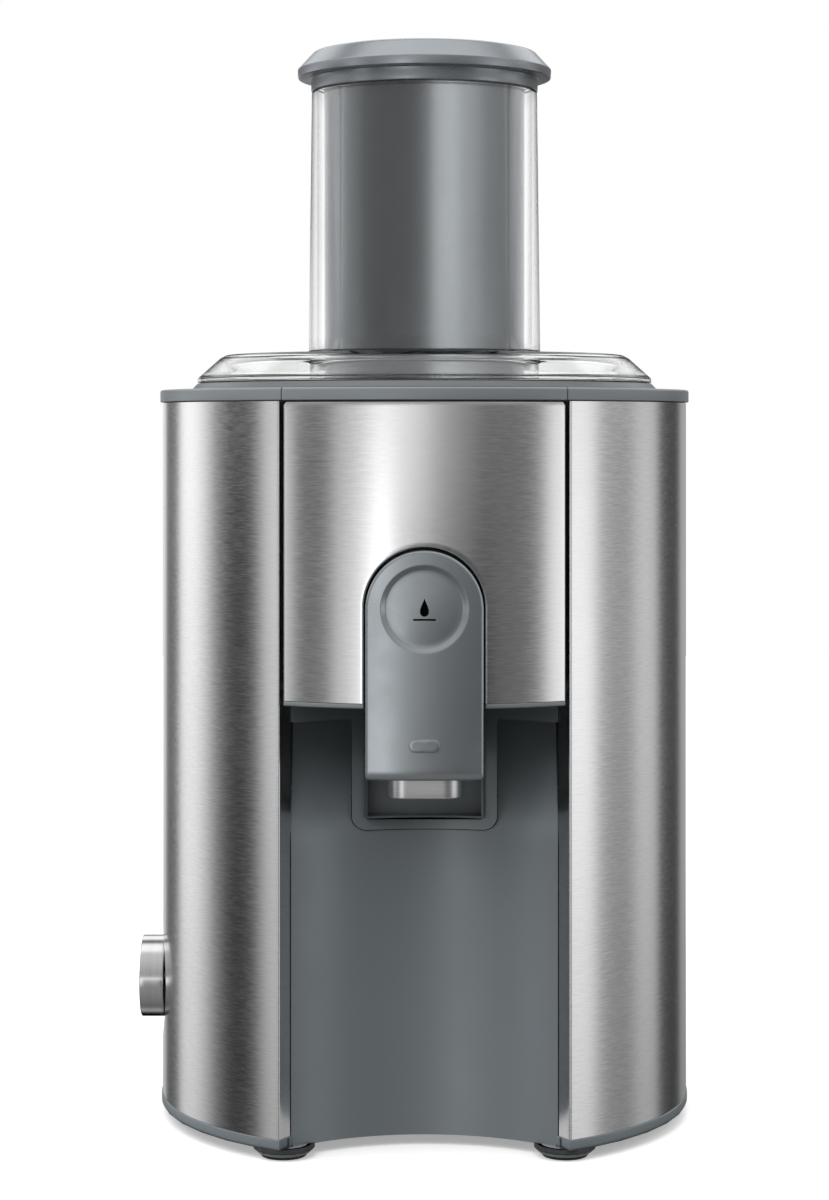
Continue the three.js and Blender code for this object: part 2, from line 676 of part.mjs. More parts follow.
function rearSector(halfAngle, z0, z1) {
  return sector(180 - halfAngle, 180 + halfAngle, z0, z1);
}

function juiceBowl() {
  const inner = BOWL_R - WALL;
  const under = BOWL_FLOOR_Z - WALL;
  const neck = [15, 15 + WALL]; // inner and outer radius of the tube round the coupling
  const neckTop = 184;
  const shell = turned([
    [neck[0], under], [BOWL_R - 5, under], [BOWL_R, under + 5], [BOWL_R, RIM_TOP_Z + 1],
    [inner, RIM_TOP_Z + 1], [inner, under + 6.2], [inner - 3.8, BOWL_FLOOR_Z],
    [neck[1], BOWL_FLOOR_Z], [neck[1], neckTop], [neck[0], neckTop],
  ]);
  const flange = loft([[lidPlan(-2.3), RIM_TOP_Z + GAP], [lidPlan(0), BOWL_TOP_Z]])
    .intersect(cylinder(DUCT_R, 0, FAR, 0, 0, ROUND));
  const duct = ring(inner, DUCT_R, DUCT_Z - WALL, RIM_TOP_Z + 1, ROUND)
    .intersect(rearSector(DUCT_HALF_ANGLE, 0, FAR));
  const ductWay = ring(inner - 1, FAR, DUCT_Z, RIM_TOP_Z + GAP, ROUND)
    .intersect(rearSector(DUCT_HALF_ANGLE - 1.4, 0, FAR));
  const port = box(-PORT.half, PORT.half, PORT.front, PORT.back, PORT.foot, BOWL_FLOOR_Z);
  const portWay = box(-PORT.half + 2, PORT.half - 2, PORT.front + 2, PORT.back - 2, 0, BOWL_FLOOR_Z + 5);
  const mouth = cylinder(inner, 200, FAR, 0, 0, ROUND);
  const body = cut(join(shell, flange, duct, port), ductWay, portWay);
  return cut(body, mouth, cylinder(PLUNGER_HOLE_R, 200, FAR, PLUNGER.x, PLUNGER.y, 12));
}

function bowlSeal() {
  const r = BOWL_R - WALL - GAP;
  return ring(r - 1.8, r, 274.9, 278, ROUND);
}

function frontPanelCarrier() {
  const wall = ring(96.5, BODY_R - LINING, 163, RIM_Z + 1, FRONT_SIDES);
  const foot = ring(BOWL_R + 0.7, BODY_R, FASCIA_Z, FRONT_Z - GAP, FRONT_SIDES);
  const head = ring(BOWL_RING_R + GAP, BODY_R + 1, RIM_Z, RIM_TOP_Z, FRONT_SIDES);
  const body = join(wall, foot, head).intersect(frontSector(FRONT_HALF_ANGLE, 0, FAR));
  const boss = (side) => box(...onSide(side, [22.4, 27]), -94.5, -88.8, FASCIA_Z, LEVER_PIN.y + 4);
  const bosses = SIDES.map(([, side]) => boss(side));
  const notch = archBlock(LEVER_HALF + LEVER_GAP, 0, -FAR, 0);
  const pinHole = cylinderAlongX(2.3, -26.3, 26.3, ...LEVER_PIN.toArray(), 16);
  return cut(join(cut(body, notch), ...bosses), pinHole);
}

function frontPanel() {
  const skin = ring(BODY_R - STEEL, BODY_R, FRONT_Z, RIM_Z - GAP, FRONT_SIDES)
    .intersect(frontSector(FRONT_HALF_ANGLE, 0, FAR));
  return cut(skin, archBlock(LEVER_HALF + LEVER_GAP, 0, -FAR, 0));
}

function outletSeal() {
  const outer = box(-PORT.half - 1.8, PORT.half + 1.8, PORT.front - 1.8, PORT.back + 1.8, 162, 165.3);
  return cut(outer, box(-PORT.half - GAP, PORT.half + GAP, PORT.front - GAP, PORT.back + GAP, 0, FAR));
}

function spoutPin() {
  return cylinderAlongX(2, -26, 26, ...LEVER_PIN.toArray(), 16);
}

// The spout's steel tip, a flattened tube.
function tipBlock(grow, z0, z1) {
  const r = 6.5;
  const middle = 13.45 - r;
  const centreY = -75.5;
  const outline = [...arc(r + grow, 0, 180, middle, centreY), ...arc(r + grow, 180, 360, -middle, centreY)];
  return prism(outline, z0, z1);
}

function spoutLever() {
  const faceRound = (r) => cylinder(r, 0, FAR, 0, 0, 128);
  const face = archBlock(LEVER_HALF, LEVER_FOOT_Z, -FAR, -97).intersect(faceRound(LEVER_FACE_R));
  const dish = cylinderAlongY(15.3, -FAR, -90, 0, LEVER_ARCH_Z, 40);
  const dished = cut(face, cut(dish, faceRound(LEVER_FACE_R - 1.2)));
  const channel = box(-17, 17, -97.5, -66, 140, 159.8);
  const ear = (side) => box(...onSide(side, [12, 20.5]), -97.5, -89.2, 158, LEVER_PIN.y + 3.6);
  const ears = SIDES.map(([, side]) => ear(side));
  const channelWay = box(-14.5, 14.5, -94, -68.5, 146.3, FAR);
  const pinHole = cylinderAlongX(2.3, -FAR, FAR, ...LEVER_PIN.toArray(), 16);
  return cut(join(dished, cut(channel, channelWay), ...ears), tipBlock(GAP, 0, 160), pinHole);
}

function spoutTip() {
  return cut(tipBlock(0, 128.4, 146), tipBlock(-1.2, 0, FAR));
}

// ---------- filter ----------

const FILTER_FOOT_Z = 185.5; // underside of the basket's floor
const DISC_R = 50.8; // of the grater disc

function filterBasket() {
  return turned([
    [20, FILTER_FOOT_Z], [52.3, FILTER_FOOT_Z], [74.8, 262], [80, 262], [80, FILTER_TOP_Z],
    [73.6, FILTER_TOP_Z], [51.2, FILTER_Z - GAP], [20, FILTER_Z - GAP],
  ]);
}

function filterHub() {
  const top = FILTER_Z - GAP;
  const sleeve = join(cylinder(13.5, 170, top, 0, 0, 32), cylinder(19.7, FILTER_FOOT_Z, top, 0, 0, 32));
  return cut(sleeve, cylinder(HEX_R + 0.5, 0, SHAFT_TOP_Z + 6.6, 0, 0, 6));
}

function graterDisc() {
  const face = FILTER_Z + 1.6;
  return turned([[0, FILTER_Z], [DISC_R, FILTER_Z], [DISC_R, face], [8, face], [0, FILTER_Z + 4]], 32);
}

// ---------- lid and pusher ----------

function lidCover() {
  const outside = loft([
    [lidPlan(0), LID_FOOT_Z], [lidPlan(1.3), 280.6], [lidPlan(8.3), 286.6], [lidPlan(10.6), LID_TOP_Z],
  ]);
  const inside = loft([
    [lidPlan(2.4), 270], [lidPlan(2.4), 279.2], [lidPlan(10), 285], [lidPlan(12), LID_TOP_Z - 2.4],
  ]);
  const chute = turned([
    [0, CHUTE_FOOT_Z], [44.3, CHUTE_FOOT_Z], [44.3, LID_TOP_Z - 1], [48.6, LID_TOP_Z - 1], [48.6, LID_TOP_Z],
    [45.6, 289.2], [44.35, 292.2], [43.2, CHUTE_TOP_Z - GAP], [0, CHUTE_TOP_Z - GAP],
  ]);
  const key = box(PLUNGER.x - 2, 85.5, PLUNGER.y - 2, PLUNGER.y + 2, LID_FOOT_Z, 283);
  return cut(join(cut(outside, inside), chute, key), cylinder(CHUTE_BORE_R, 0, FAR, 0, 0, ROUND));
}

function pusherCylinder() {
  const foot = 200;
  const top = CHUTE_TOP_Z - GAP;
  const inner = PUSHER_R - 2.2;
  return turned([
    [0, foot], [PUSHER_R - 3, foot], [PUSHER_R, foot + 3], [PUSHER_R, top],
    [inner, top], [inner, foot + 3], [0, foot + 2.4],
  ]);
}

function pusherCap() {
  const plug = PUSHER_R - 2.5;
  return turned([
    [0, CAP_TOP_Z - 2.4], [39, CAP_TOP_Z - 2.4], [plug - 2, 390], [plug - 2, 382], [plug, 382],
    [plug, CHUTE_TOP_Z], [43.4, CHUTE_TOP_Z], [43.4, 393.5], [CAP_R, 394.6], [CAP_R, 397],
    [47.6, 399], [45.5, 401.7], [43, 404], [41.5, CAP_TOP_Z], [0, CAP_TOP_Z],
  ]);
}

// ---------- pulp container ----------

function pedestalCover() {
  const front = BODY_R + GAP;
  const y = CASING_BACK_Y + GAP;
  const outside = prism(rearPlan(0, front, y), CASING_Z + GAP, PEDESTAL_TOP_Z);
  const inside = prism(rearPlan(WALL, front + WALL, y), 0, PEDESTAL_TOP_Z - WALL);
  return cut(outside, inside, cylinderAlongY(5.8, 150, FAR, 0, INLET_Z));
}

function pulpContainer() {
  const front = DUCT_R + 0.6;
  const y = CASING_BACK_Y + 1;
  const foot = PEDESTAL_TOP_Z + GAP;
  const outside = loft([[rearPlan(0, front, y, 5), foot], [rearPlan(0, front, y), RIM_Z + 1]]);
  const inside = loft([
    [rearPlan(WALL, front + WALL, y, 5), foot + WALL],
    [rearPlan(WALL, front + WALL, y), RIM_Z],
  ]);
  const brim = prism(rearPlan(-1, front, y + 1), RIM_Z, RIM_TOP_Z);
  const collar = loft([[lidPlan(-2.3), RIM_TOP_Z - 1], [lidPlan(0), BOWL_TOP_Z]])
    .intersect(prism(rearPlan(0, front, y), 0, FAR));
  const mouth = prism(lidPlan(3), RIM_Z - 1, FAR)
    .intersect(prism(rearPlan(WALL, front + WALL, y), 0, FAR));
  const gate = box(-60, 60, 0, 110, DUCT_Z - 1, FAR).intersect(cylinder(110, 0, FAR, 0, 0, 48));
  return cut(join(outside, brim, collar), inside, mouth, gate);
}

// ---------- assembly ----------

const panels = sidePanels();

add('base_tray', baseTray(), 'darkPlastic');
for (const [name, x, y] of FEET) {
  add(`foot_pad_${name}`, footPad(x, y), 'rubber');
}
SCREWS.forEach((p, i) => add(`base_screw_${i + 1}`, baseScrew(p), 'screwSteel'));
add('motor_housing', motorHousing(), 'darkPlastic');
add('left_side_panel', panels.left, 'steel');
add('right_side_panel', panels.right, 'steel');
for (const [name, side] of SIDES) {
  add(`${name}_rim`, rim(side), 'greyPlastic');
}
add('niche_wall', nicheWall(), 'greyPlastic');
add('spout_bezel', spoutBezel(), 'greyPlastic');
add('pedestal_cover', pedestalCover(), 'greyPlastic');
add('cord_inlet', cordInlet(), 'rubber');

add('stator_core', statorCore(), 'laminations');
for (const [name, side] of SIDES) {
  add(`field_coil_${name}`, fieldCoil(side), 'copper');
}
add('upper_motor_bracket', upperBracket(), 'screwSteel');
add('lower_motor_bracket', lowerBracket(), 'screwSteel');
add('upper_bearing', bearing(UPPER_BRACKET_Z + PLATE), 'screwSteel');
add('lower_bearing', bearing(LOWER_BRACKET_Z + PLATE), 'screwSteel');
add('brush_holder_front', brushHolder(-1), 'darkPlastic');
add('brush_holder_rear', brushHolder(1), 'darkPlastic');
DAMPERS.forEach((p, i) => add(`motor_damper_${i + 1}`, cylinder(6, ...DAMPER_Z, p.x, p.y, 16), 'rubber'));
add('shaft_seal', shaftSeal(), 'rubber');
add('control_board', controlBoard(), 'board');
add('rotary_switch', rotarySwitch(), 'darkPlastic');
add('interlock_switch', interlockSwitch(), 'darkPlastic');

add('motor_shaft', cylinder(SHAFT_R, 20, SHAFT_TOP_Z, 0, 0, 24), 'screwSteel');
add('rotor_core', ring(BORE, ROTOR_R, STATOR_Z[0] + 1, STATOR_Z[1] - 1, 24), 'laminations');
add('commutator', ring(BORE, COMMUTATOR_R, ...COMMUTATOR_Z, 24), 'copper');
add('cooling_fan', coolingFan(), 'darkPlastic');
add('drive_coupling', driveCoupling(), 'darkPlastic');

add('juice_bowl', juiceBowl(), 'greyPlastic');
add('bowl_seal', bowlSeal(), 'rubber');
add('front_panel_carrier', frontPanelCarrier(), 'greyPlastic');
add('front_panel', frontPanel(), 'steel');
add('outlet_seal', outletSeal(), 'rubber');
add('spout_pin', spoutPin(), 'screwSteel');
add('spout_lever', spoutLever(), 'greyPlastic');
add('spout_tip', spoutTip(), 'steel');

add('filter_basket', filterBasket(), 'filterSteel');
add('filter_hub', filterHub(), 'darkPlastic');
add('grater_disc', graterDisc(), 'filterSteel');

add('lid_cover', lidCover(), 'clearPlastic');
add('pusher_cylinder', pusherCylinder(), 'pusherPlastic');
add('pusher_cap', pusherCap(), 'greyPlastic');
add('pulp_container', pulpContainer(), 'smokedPlastic');

add('switch_knob', switchKnob(), 'steel');
add('interlock_plunger', interlockPlunger(), 'darkPlastic');
for (const [name, side] of SIDES) {
  add(`${name}_latch`, latch(side), 'greyPlastic');
}

// The origin goes under the middle of the box: the knob stands out on one side only, and the front is
// the spout lever's face.
root.position.set(-(KNOB_FACE_X + BODY_R + 1) / 2, -(INLET_END_Y - LEVER_FACE_R) / 2, 0);

export default root;
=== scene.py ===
# %% [markdown]
# # A centrifugal juicer, dressed over its own moving bodies
# The CAD model gives every body its place and its motion. This file adds what the eye sees: rolled steel
# skins, moulded plastic, a clear lid with a feed chute, and the finish of each. A new piece is worked
# out in millimetres about the motor's axis, and put where the CAD node that it stands for is.

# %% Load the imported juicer
import math

import bmesh
import bpy
import numpy as np
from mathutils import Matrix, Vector


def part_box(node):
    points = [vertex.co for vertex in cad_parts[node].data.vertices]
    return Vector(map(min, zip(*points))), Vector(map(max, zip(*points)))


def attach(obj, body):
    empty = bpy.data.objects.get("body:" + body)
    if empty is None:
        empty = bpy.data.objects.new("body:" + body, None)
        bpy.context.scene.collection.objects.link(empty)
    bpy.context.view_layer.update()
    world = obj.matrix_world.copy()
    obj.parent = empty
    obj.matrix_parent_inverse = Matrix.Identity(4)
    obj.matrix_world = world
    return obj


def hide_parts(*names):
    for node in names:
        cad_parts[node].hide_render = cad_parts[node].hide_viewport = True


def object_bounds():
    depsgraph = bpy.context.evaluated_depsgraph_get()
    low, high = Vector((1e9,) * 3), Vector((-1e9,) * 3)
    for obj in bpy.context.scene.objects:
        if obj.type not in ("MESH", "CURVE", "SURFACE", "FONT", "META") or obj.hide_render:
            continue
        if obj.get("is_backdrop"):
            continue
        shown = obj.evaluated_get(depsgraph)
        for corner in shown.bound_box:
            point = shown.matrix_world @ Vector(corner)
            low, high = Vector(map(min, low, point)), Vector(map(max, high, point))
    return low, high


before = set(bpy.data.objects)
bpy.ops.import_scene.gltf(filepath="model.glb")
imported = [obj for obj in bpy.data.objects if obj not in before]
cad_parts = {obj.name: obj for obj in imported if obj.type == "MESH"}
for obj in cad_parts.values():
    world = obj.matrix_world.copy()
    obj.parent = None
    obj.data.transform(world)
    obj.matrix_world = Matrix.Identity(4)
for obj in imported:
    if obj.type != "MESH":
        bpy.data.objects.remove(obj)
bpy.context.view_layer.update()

# %% [markdown]
# The motor shaft tells where the axis is. Everything round is round about it, so shapes are easiest to
# write about the axis in millimetres. One helper turns a node's box into those units, and the main
# sizes are read from the boxes of the nodes that they belong to.

# %% Sizes that the frame gives
MM = 0.001
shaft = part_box("motor_shaft")
AXIS = np.array([(shaft[0].x + shaft[1].x) / 2, (shaft[0].y + shaft[1].y) / 2, 0.0])


def span(node):
    """Lowest and highest corner of a CAD node, in millimetres about the motor axis."""
    low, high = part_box(node)
    return (np.array(low) - AXIS) / MM, (np.array(high) - AXIS) / MM


panel_low, panel_high = span("left_side_panel")
CASING_R = -panel_low[0]
SKIN_FOOT, SKIN_TOP = panel_low[2], panel_high[2]
SKIN_BACK = panel_high[1]
rim_low, rim_high = span("left_rim")
RIM_R, RIM_FOOT, RIM_TOP = -rim_low[0], rim_low[2], rim_high[2]
BASE_FOOT = span("niche_wall")[0][2]
print(f"casing radius {CASING_R:.1f}, skins {SKIN_FOOT:.1f} to {SKIN_TOP:.1f}, rim to {RIM_TOP:.1f} mm")

# %% [markdown]
# The camera comes first. It stands level in front of the juicer, a little above its middle. Tilting it
# down would make upright edges lean together. The picture is shifted instead, which keeps them upright.

# %% Camera
CAMERA_FAR = 1089.4  # in front of the motor axis
CAMERA_HEIGHT = 259.2
camera = bpy.data.objects.new("camera", bpy.data.cameras.new("camera"))
camera.location = AXIS + np.array([0, -CAMERA_FAR, CAMERA_HEIGHT]) * MM
camera.rotation_euler = (math.pi / 2, 0, 0)
camera.data.sensor_width = 36
camera.data.lens = 85.1
camera.data.shift_x = -0.0083
camera.data.shift_y = -0.1408
camera.data.clip_start = 0.05
bpy.context.scene.collection.objects.link(camera)
bpy.context.scene.camera = camera
bpy.context.scene.view_settings.view_transform = "Standard"
print("camera at", [round(v, 3) for v in camera.location])

# %% [markdown]
# A material is a tree of nodes. Making, setting and linking a node takes several lines, and one small
# helper does all three, so that each line of a material reads as one step.

# %% Node helpers
def put(tree, kind, inputs=(), **settings):
    """Adds a node. Settings are its own properties; inputs are values or other nodes' outputs."""
    made = tree.nodes.new(kind)
    for name, value in settings.items():
        setattr(made, name, value)
    for name, value in dict(inputs).items():
        if isinstance(value, bpy.types.NodeSocket):
            tree.links.new(value, made.inputs[name])
        else:
            made.inputs[name].default_value = value
    return made


def maths(tree, operation, a, b=0.0):
    """One number from two, through a Math node."""
    return put(tree, "ShaderNodeMath", {0: a, 1: b}, operation=operation).outputs[0]


def blend(tree, amount, a, b):
    """A colour from a to b as amount goes from 0 to 1."""
    made = put(tree, "ShaderNodeMix", {0: amount}, data_type="RGBA")
    for socket, value in zip((made.inputs[6], made.inputs[7]), (a, b)):
        if isinstance(value, bpy.types.NodeSocket):
            tree.links.new(value, socket)
        else:
            socket.default_value = (*value, 1)
    return made.outputs[2]


def ranged(tree, value, low, high, to_low=0.0, to_high=1.0, interpolation="SMOOTHSTEP"):
    """Value carried from the range low..high to the range to_low..to_high, smoothly or in a line."""
    sockets = {0: value, 1: low, 2: high, 3: to_low, 4: to_high}
    return put(tree, "ShaderNodeMapRange", sockets, interpolation_type=interpolation).outputs[0]


def between(tree, amount, a, b):
    """A number from a to b as amount goes from 0 to 1."""
    return put(tree, "ShaderNodeMix", {0: amount, 2: a, 3: b}, data_type="FLOAT").outputs[0]


def length(tree, vector):
    """How long a vector is."""
    return put(tree, "ShaderNodeVectorMath", {0: vector}, operation="LENGTH").outputs["Value"]


# %% [markdown]
# Steel shows what stands round it. A studio lights such a thing with tall soft boxes and dark cards
# in turn, and they make the upright bands on the skins. Here the world does it: mirror-like rays see
# the boxes and cards as a curve over the compass, one curve for the skins, and one for what is seen
# through the clear tube. Far up and far down, a third curve takes over, which runs over the top from
# front to back. The boxes could be glowing planes instead, but these would light the plastic too and
# show in the clear lid. A curve is read only by the rays that it is meant for.

# %% The soft boxes round the compass
LOW_BOXES = [
    (-180, 0.6), (-172, 0.75), (-164, 1.0), (-157, 0.75), (-149, 0.2), (-141, 0.24), (-133, 1.05),
    (-123, 1.6), (-114, 1.35), (-106, 0.8), (-98, 0.28), (-86, 0.07), (-75, 0.48), (-66, 1.05),
    (-59, 0.8), (-54, 0.22), (-47, 0.18), (-38, 0.62), (-25, 1.05), (-12, 1.55), (-5, 1.45), (6, 0.85),
    (19, 0.42), (32, 0.2), (44, 0.22), (53, 0.8), (60, 1.35), (70, 1.45), (81, 0.68), (95, 0.44),
    (110, 0.82), (119, 0.7), (128, 0.12), (142, 0.09), (152, 0.45), (160, 0.5), (168, 0.38), (180, 0.3),
]  # degrees from the front, positive to the right, and brightness
TUBE_BOXES = [
    (-180, 1.1), (-150, 1.1), (-128, 0.8), (-115, 0.95), (-95, 0.65), (-79, 0.44), (-64, 0.28),
    (-28, 0.24), (-14, 0.28), (1, 0.56), (15, 1.3), (29, 1.55), (42, 1.25), (60, 0.95), (80, 0.6),
    (108, 0.5), (125, 0.9), (150, 1.1), (180, 1.1),
]
FRONT_CARD = [
    (-180, 1.0), (-60, 1.0), (-50, 1.25), (-40, 1.5), (-34, 1.35), (-28, 1.6), (-23, 1.95), (-18, 2.0),
    (-15, 1.6), (-12, 0.85), (-9, 0.5), (-6, 0.36), (0, 0.26), (8, 0.2), (22, 0.2), (30, 0.7), (36, 1.0),
    (180, 1.0),
]  # times the low boxes, for what looks a little lower than level: a card that stands in front
BRIGHTEST = 2.0


def curve_node(tree, value, points, low, high):
    """A Float Curve through (place, level): places run from low to high, levels from 0 to BRIGHTEST."""
    at = ranged(tree, value, low, high, interpolation="LINEAR")
    made = put(tree, "ShaderNodeFloatCurve", {"Value": at})
    curve = made.mapping.curves[0]
    for _ in points[2:]:
        curve.points.new(0.5, 0.5)
    for point, (place, level) in zip(curve.points, points):
        point.location = ((place - low) / (high - low), level / BRIGHTEST)
    made.mapping.update()
    return maths(tree, "MULTIPLY", made.outputs[0], BRIGHTEST)


print(len(LOW_BOXES), "points for the skins and", len(TUBE_BOXES), "for the tube")

# %% [markdown]
# The world picks what a ray sees by the kind of ray. A mirror-like ray sees the boxes. A ray from the
# camera, or one that has gone straight through clear plastic, sees white. Any other ray sees a dome,
# pale above and dim below. With one picture for all of them, brighter bands on the steel would also
# wash out the plastic.

# %% World: reflections, dome and background
CARD_BOTTOM, CARD_TOP = -0.05, -0.03  # sines of the heights between which the front card fades out
UP, DOWN = (0.03, 0.09), (-0.26, -0.4)  # those between which the curve over the top takes over
FAR_UP, FAR_DOWN = (0.4, 0.62), (-0.5, -0.8)  # the same for what is seen through the tube
BY_HEIGHT = [(-1, 0.1), (-0.5, 0.25), (-0.3, 0.5), (-0.2, 0.7), (-0.1, 0.9), (0, 1.0), (0.5, 1.0), (1, 1.0)]
OVER_THE_TOP = [
    (-180, 0.02), (-126, 0.02), (-119, 0.08), (-112, 0.42), (-105, 0.45), (-96, 0.25), (-89, 0.18),
    (-64, 0.25), (-47, 0.29), (-35, 0.31), (-16, 0.33), (-4, 0.38), (8, 0.42), (22, 0.52), (38, 0.64),
    (57, 0.75), (75, 0.8), (80, 1.2), (87, 1.55), (105, 1.5), (112, 0.6), (117, 0.08), (124, 0.08),
    (130, 1.2), (140, 1.5), (155, 1.2), (165, 0.2), (180, 0.12),
]  # degrees from the front horizon over the zenith to the back
BEHIND_CLEAR = 1.1  # the white background seen through clear plastic, which takes a little of it
DOME = [(-1, 0.3), (-0.5, 0.22), (-0.2, 0.17), (0, 0.25), (0.3, 0.62), (0.7, 0.95), (1, 1.0)]

world = bpy.data.worlds.new("studio")
bpy.context.scene.world = world
world.use_nodes = True
tree = world.node_tree
tree.nodes.clear()
direction = put(tree, "ShaderNodeTexCoord").outputs["Generated"]
parts = put(tree, "ShaderNodeSeparateXYZ", {0: direction})
height = parts.outputs[2]
compass = maths(tree, "ARCTAN2", parts.outputs[0], maths(tree, "MULTIPLY", parts.outputs[1], -1.0))
compass = maths(tree, "DEGREES", compass)
low_boxes, tube_boxes, card = (curve_node(tree, compass, points, -180, 180)
                               for points in (LOW_BOXES, TUBE_BOXES, FRONT_CARD))
card = between(tree, ranged(tree, height, CARD_BOTTOM, CARD_TOP), card, 1.0)
low_boxes = maths(tree, "MULTIPLY", low_boxes, card)
ray = put(tree, "ShaderNodeLightPath")
in_tube = maths(tree, "GREATER_THAN", ray.outputs["Transmission Depth"], 0.5)
seen = between(tree, in_tube, low_boxes, tube_boxes)
seen = maths(tree, "MULTIPLY", seen, curve_node(tree, height, BY_HEIGHT, -1, 1))
pitch = maths(tree, "ARCTAN2", height, maths(tree, "MULTIPLY", parts.outputs[1], -1.0))
over = curve_node(tree, maths(tree, "DEGREES", pitch), OVER_THE_TOP, -180, 180)
up, down = (between(tree, in_tube, ranged(tree, height, *near), ranged(tree, height, *far))
            for near, far in ((UP, FAR_UP), (DOWN, FAR_DOWN)))
steep = maths(tree, "ADD", up, down)
seen = between(tree, steep, seen, over)
dome = curve_node(tree, height, DOME, -1, 1)
mirrored = maths(tree, "GREATER_THAN", ray.outputs["Glossy Depth"], 0.5)
mirrored = maths(tree, "MAXIMUM", mirrored, ray.outputs["Is Glossy Ray"])
direct = maths(tree, "LESS_THAN", ray.outputs["Diffuse Depth"], 0.5)
through = maths(tree, "MULTIPLY", ray.outputs["Is Transmission Ray"], direct)
background = maths(tree, "MAXIMUM", ray.outputs["Is Camera Ray"], through)
white = between(tree, ray.outputs["Is Camera Ray"], BEHIND_CLEAR, 1.0)
level = between(tree, mirrored, between(tree, background, dome, white), seen)
light = put(tree, "ShaderNodeBackground", {"Color": (1, 1, 1, 1), "Strength": level})
put(tree, "ShaderNodeOutputWorld", {"Surface": light.outputs[0]})
print("world nodes:", len(tree.nodes))

# %% [markdown]
# Soft lamps light the moulded parts: a large one high in front and a little to the left, and weak ones
# low on the left, on the right and behind. The dome alone would leave these parts flat. The lamps are
# hidden from mirror-like rays, which have the soft boxes.

# %% Lamps
LAMP_AIM = 0.16  # the height in metres that the lamps look at
LAMPS = [
    ("key_lamp", -34, 54, 1.9, 1.7, 21.0),
    ("fill_lamp", -72, 4, 0.6, 1.5, 3.6),
    ("side_lamp", 100, 28, 1.2, 1.7, 4.0),
    ("back_lamp", 165, 40, 1.6, 1.8, 11.0),
]  # name, compass and height in degrees, size and distance in metres, watts
for name, compass_at, height_at, size, far, power in LAMPS:
    lamp = bpy.data.objects.new(name, bpy.data.lights.new(name, "AREA"))
    lamp.data.shape = "DISK"
    lamp.data.size = size
    lamp.data.energy = power
    turn, rise = math.radians(compass_at), math.radians(height_at)
    toward = Vector((math.sin(turn) * math.cos(rise), -math.cos(turn) * math.cos(rise), math.sin(rise)))
    lamp.location = Vector(AXIS + [0, 0, LAMP_AIM]) + toward * far
    lamp.rotation_euler = toward.to_track_quat("Z", "Y").to_euler()
    lamp.visible_camera = lamp.visible_glossy = lamp.visible_transmission = False
    bpy.context.scene.collection.objects.link(lamp)
    print(name, "at", [round(v, 2) for v in lamp.location])

# %% [markdown]
# The floor is a pale disc that keeps the juicer's soft shadow. A plain floor would end in a hard edge
# against the white, so this one glows more and more outward until it is white itself. It is hidden from
# mirror-like rays, so the bands on the steel run down to its lower edge.

# %% Floor
FLOOR_R = 2.2
NEAR_R, NEAR_GLOW = 0.2, 0.34  # the floor's own glow by the juicer
OPEN_R = 0.7  # where it becomes plain white
floor_mesh = bpy.data.meshes.new("floor")
ring = np.linspace(0, 2 * np.pi, 64, endpoint=False)
corners = np.stack([np.cos(ring), np.sin(ring), np.zeros(64)], -1) * FLOOR_R + AXIS
floor_mesh.from_pydata(corners.tolist(), [], [list(range(64))])
floor = bpy.data.objects.new("floor", floor_mesh)
bpy.context.scene.collection.objects.link(floor)
floor.visible_glossy = floor.visible_transmission = floor.visible_diffuse = False
paper = bpy.data.materials.new("paper_floor")
paper.use_nodes = True
sheet = paper.node_tree.nodes["Principled BSDF"]
sheet.inputs["Base Color"].default_value = (0.82, 0.82, 0.82, 1)
sheet.inputs["Roughness"].default_value = 0.9
sheet.inputs["Specular IOR Level"].default_value = 0.0
place = put(paper.node_tree, "ShaderNodeTexCoord").outputs["Object"]
glow = ranged(paper.node_tree, length(paper.node_tree, place), NEAR_R, OPEN_R, NEAR_GLOW, 1.0)
paper.node_tree.links.new(glow, sheet.inputs["Emission Color"])
sheet.inputs["Emission Strength"].default_value = 1.0
floor_mesh.materials.append(paper)
floor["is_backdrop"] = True
print("floor radius", FLOOR_R, "m")

# %% [markdown]
# Four effects are shared by the finishes, each as a node group: the level grain of brushed steel, the
# fine pebble of moulded plastic, the faint smudges of handling, and the lighter line where an edge has
# been rubbed. Each could be written out in every material, but a group is written once and placed with
# its own values. A group gives numbers only; the shader stays in the material.

# %% Node groups shared by the finishes
def effect(name, inputs, outputs):
    """An empty node group with named number or vector inputs and number outputs."""
    made = bpy.data.node_groups.new(name, "ShaderNodeTree")
    for label, value in inputs.items():
        kind = "NodeSocketVector" if value is None else "NodeSocketFloat"
        socket = made.interface.new_socket(label, in_out="INPUT", socket_type=kind)
        if value is not None:
            socket.default_value = value
    for label in outputs:
        made.interface.new_socket(label, in_out="OUTPUT", socket_type="NodeSocketFloat")
    return made, made.nodes.new("NodeGroupInput").outputs, made.nodes.new("NodeGroupOutput").inputs


def noise(tree, vector, scale, detail=2.0, roughness=0.5):
    """Noise between 0 and 1 over a vector."""
    sockets = {"Vector": vector, "Scale": scale, "Detail": detail, "Roughness": roughness}
    return put(tree, "ShaderNodeTexNoise", sockets).outputs["Fac"]


def stretched(tree, vector, x, y, z):
    """A vector with each part multiplied by its own number."""
    by = put(tree, "ShaderNodeCombineXYZ", {0: x, 1: y, 2: z}).outputs[0]
    return put(tree, "ShaderNodeVectorMath", {0: vector, 1: by}, operation="MULTIPLY").outputs[0]


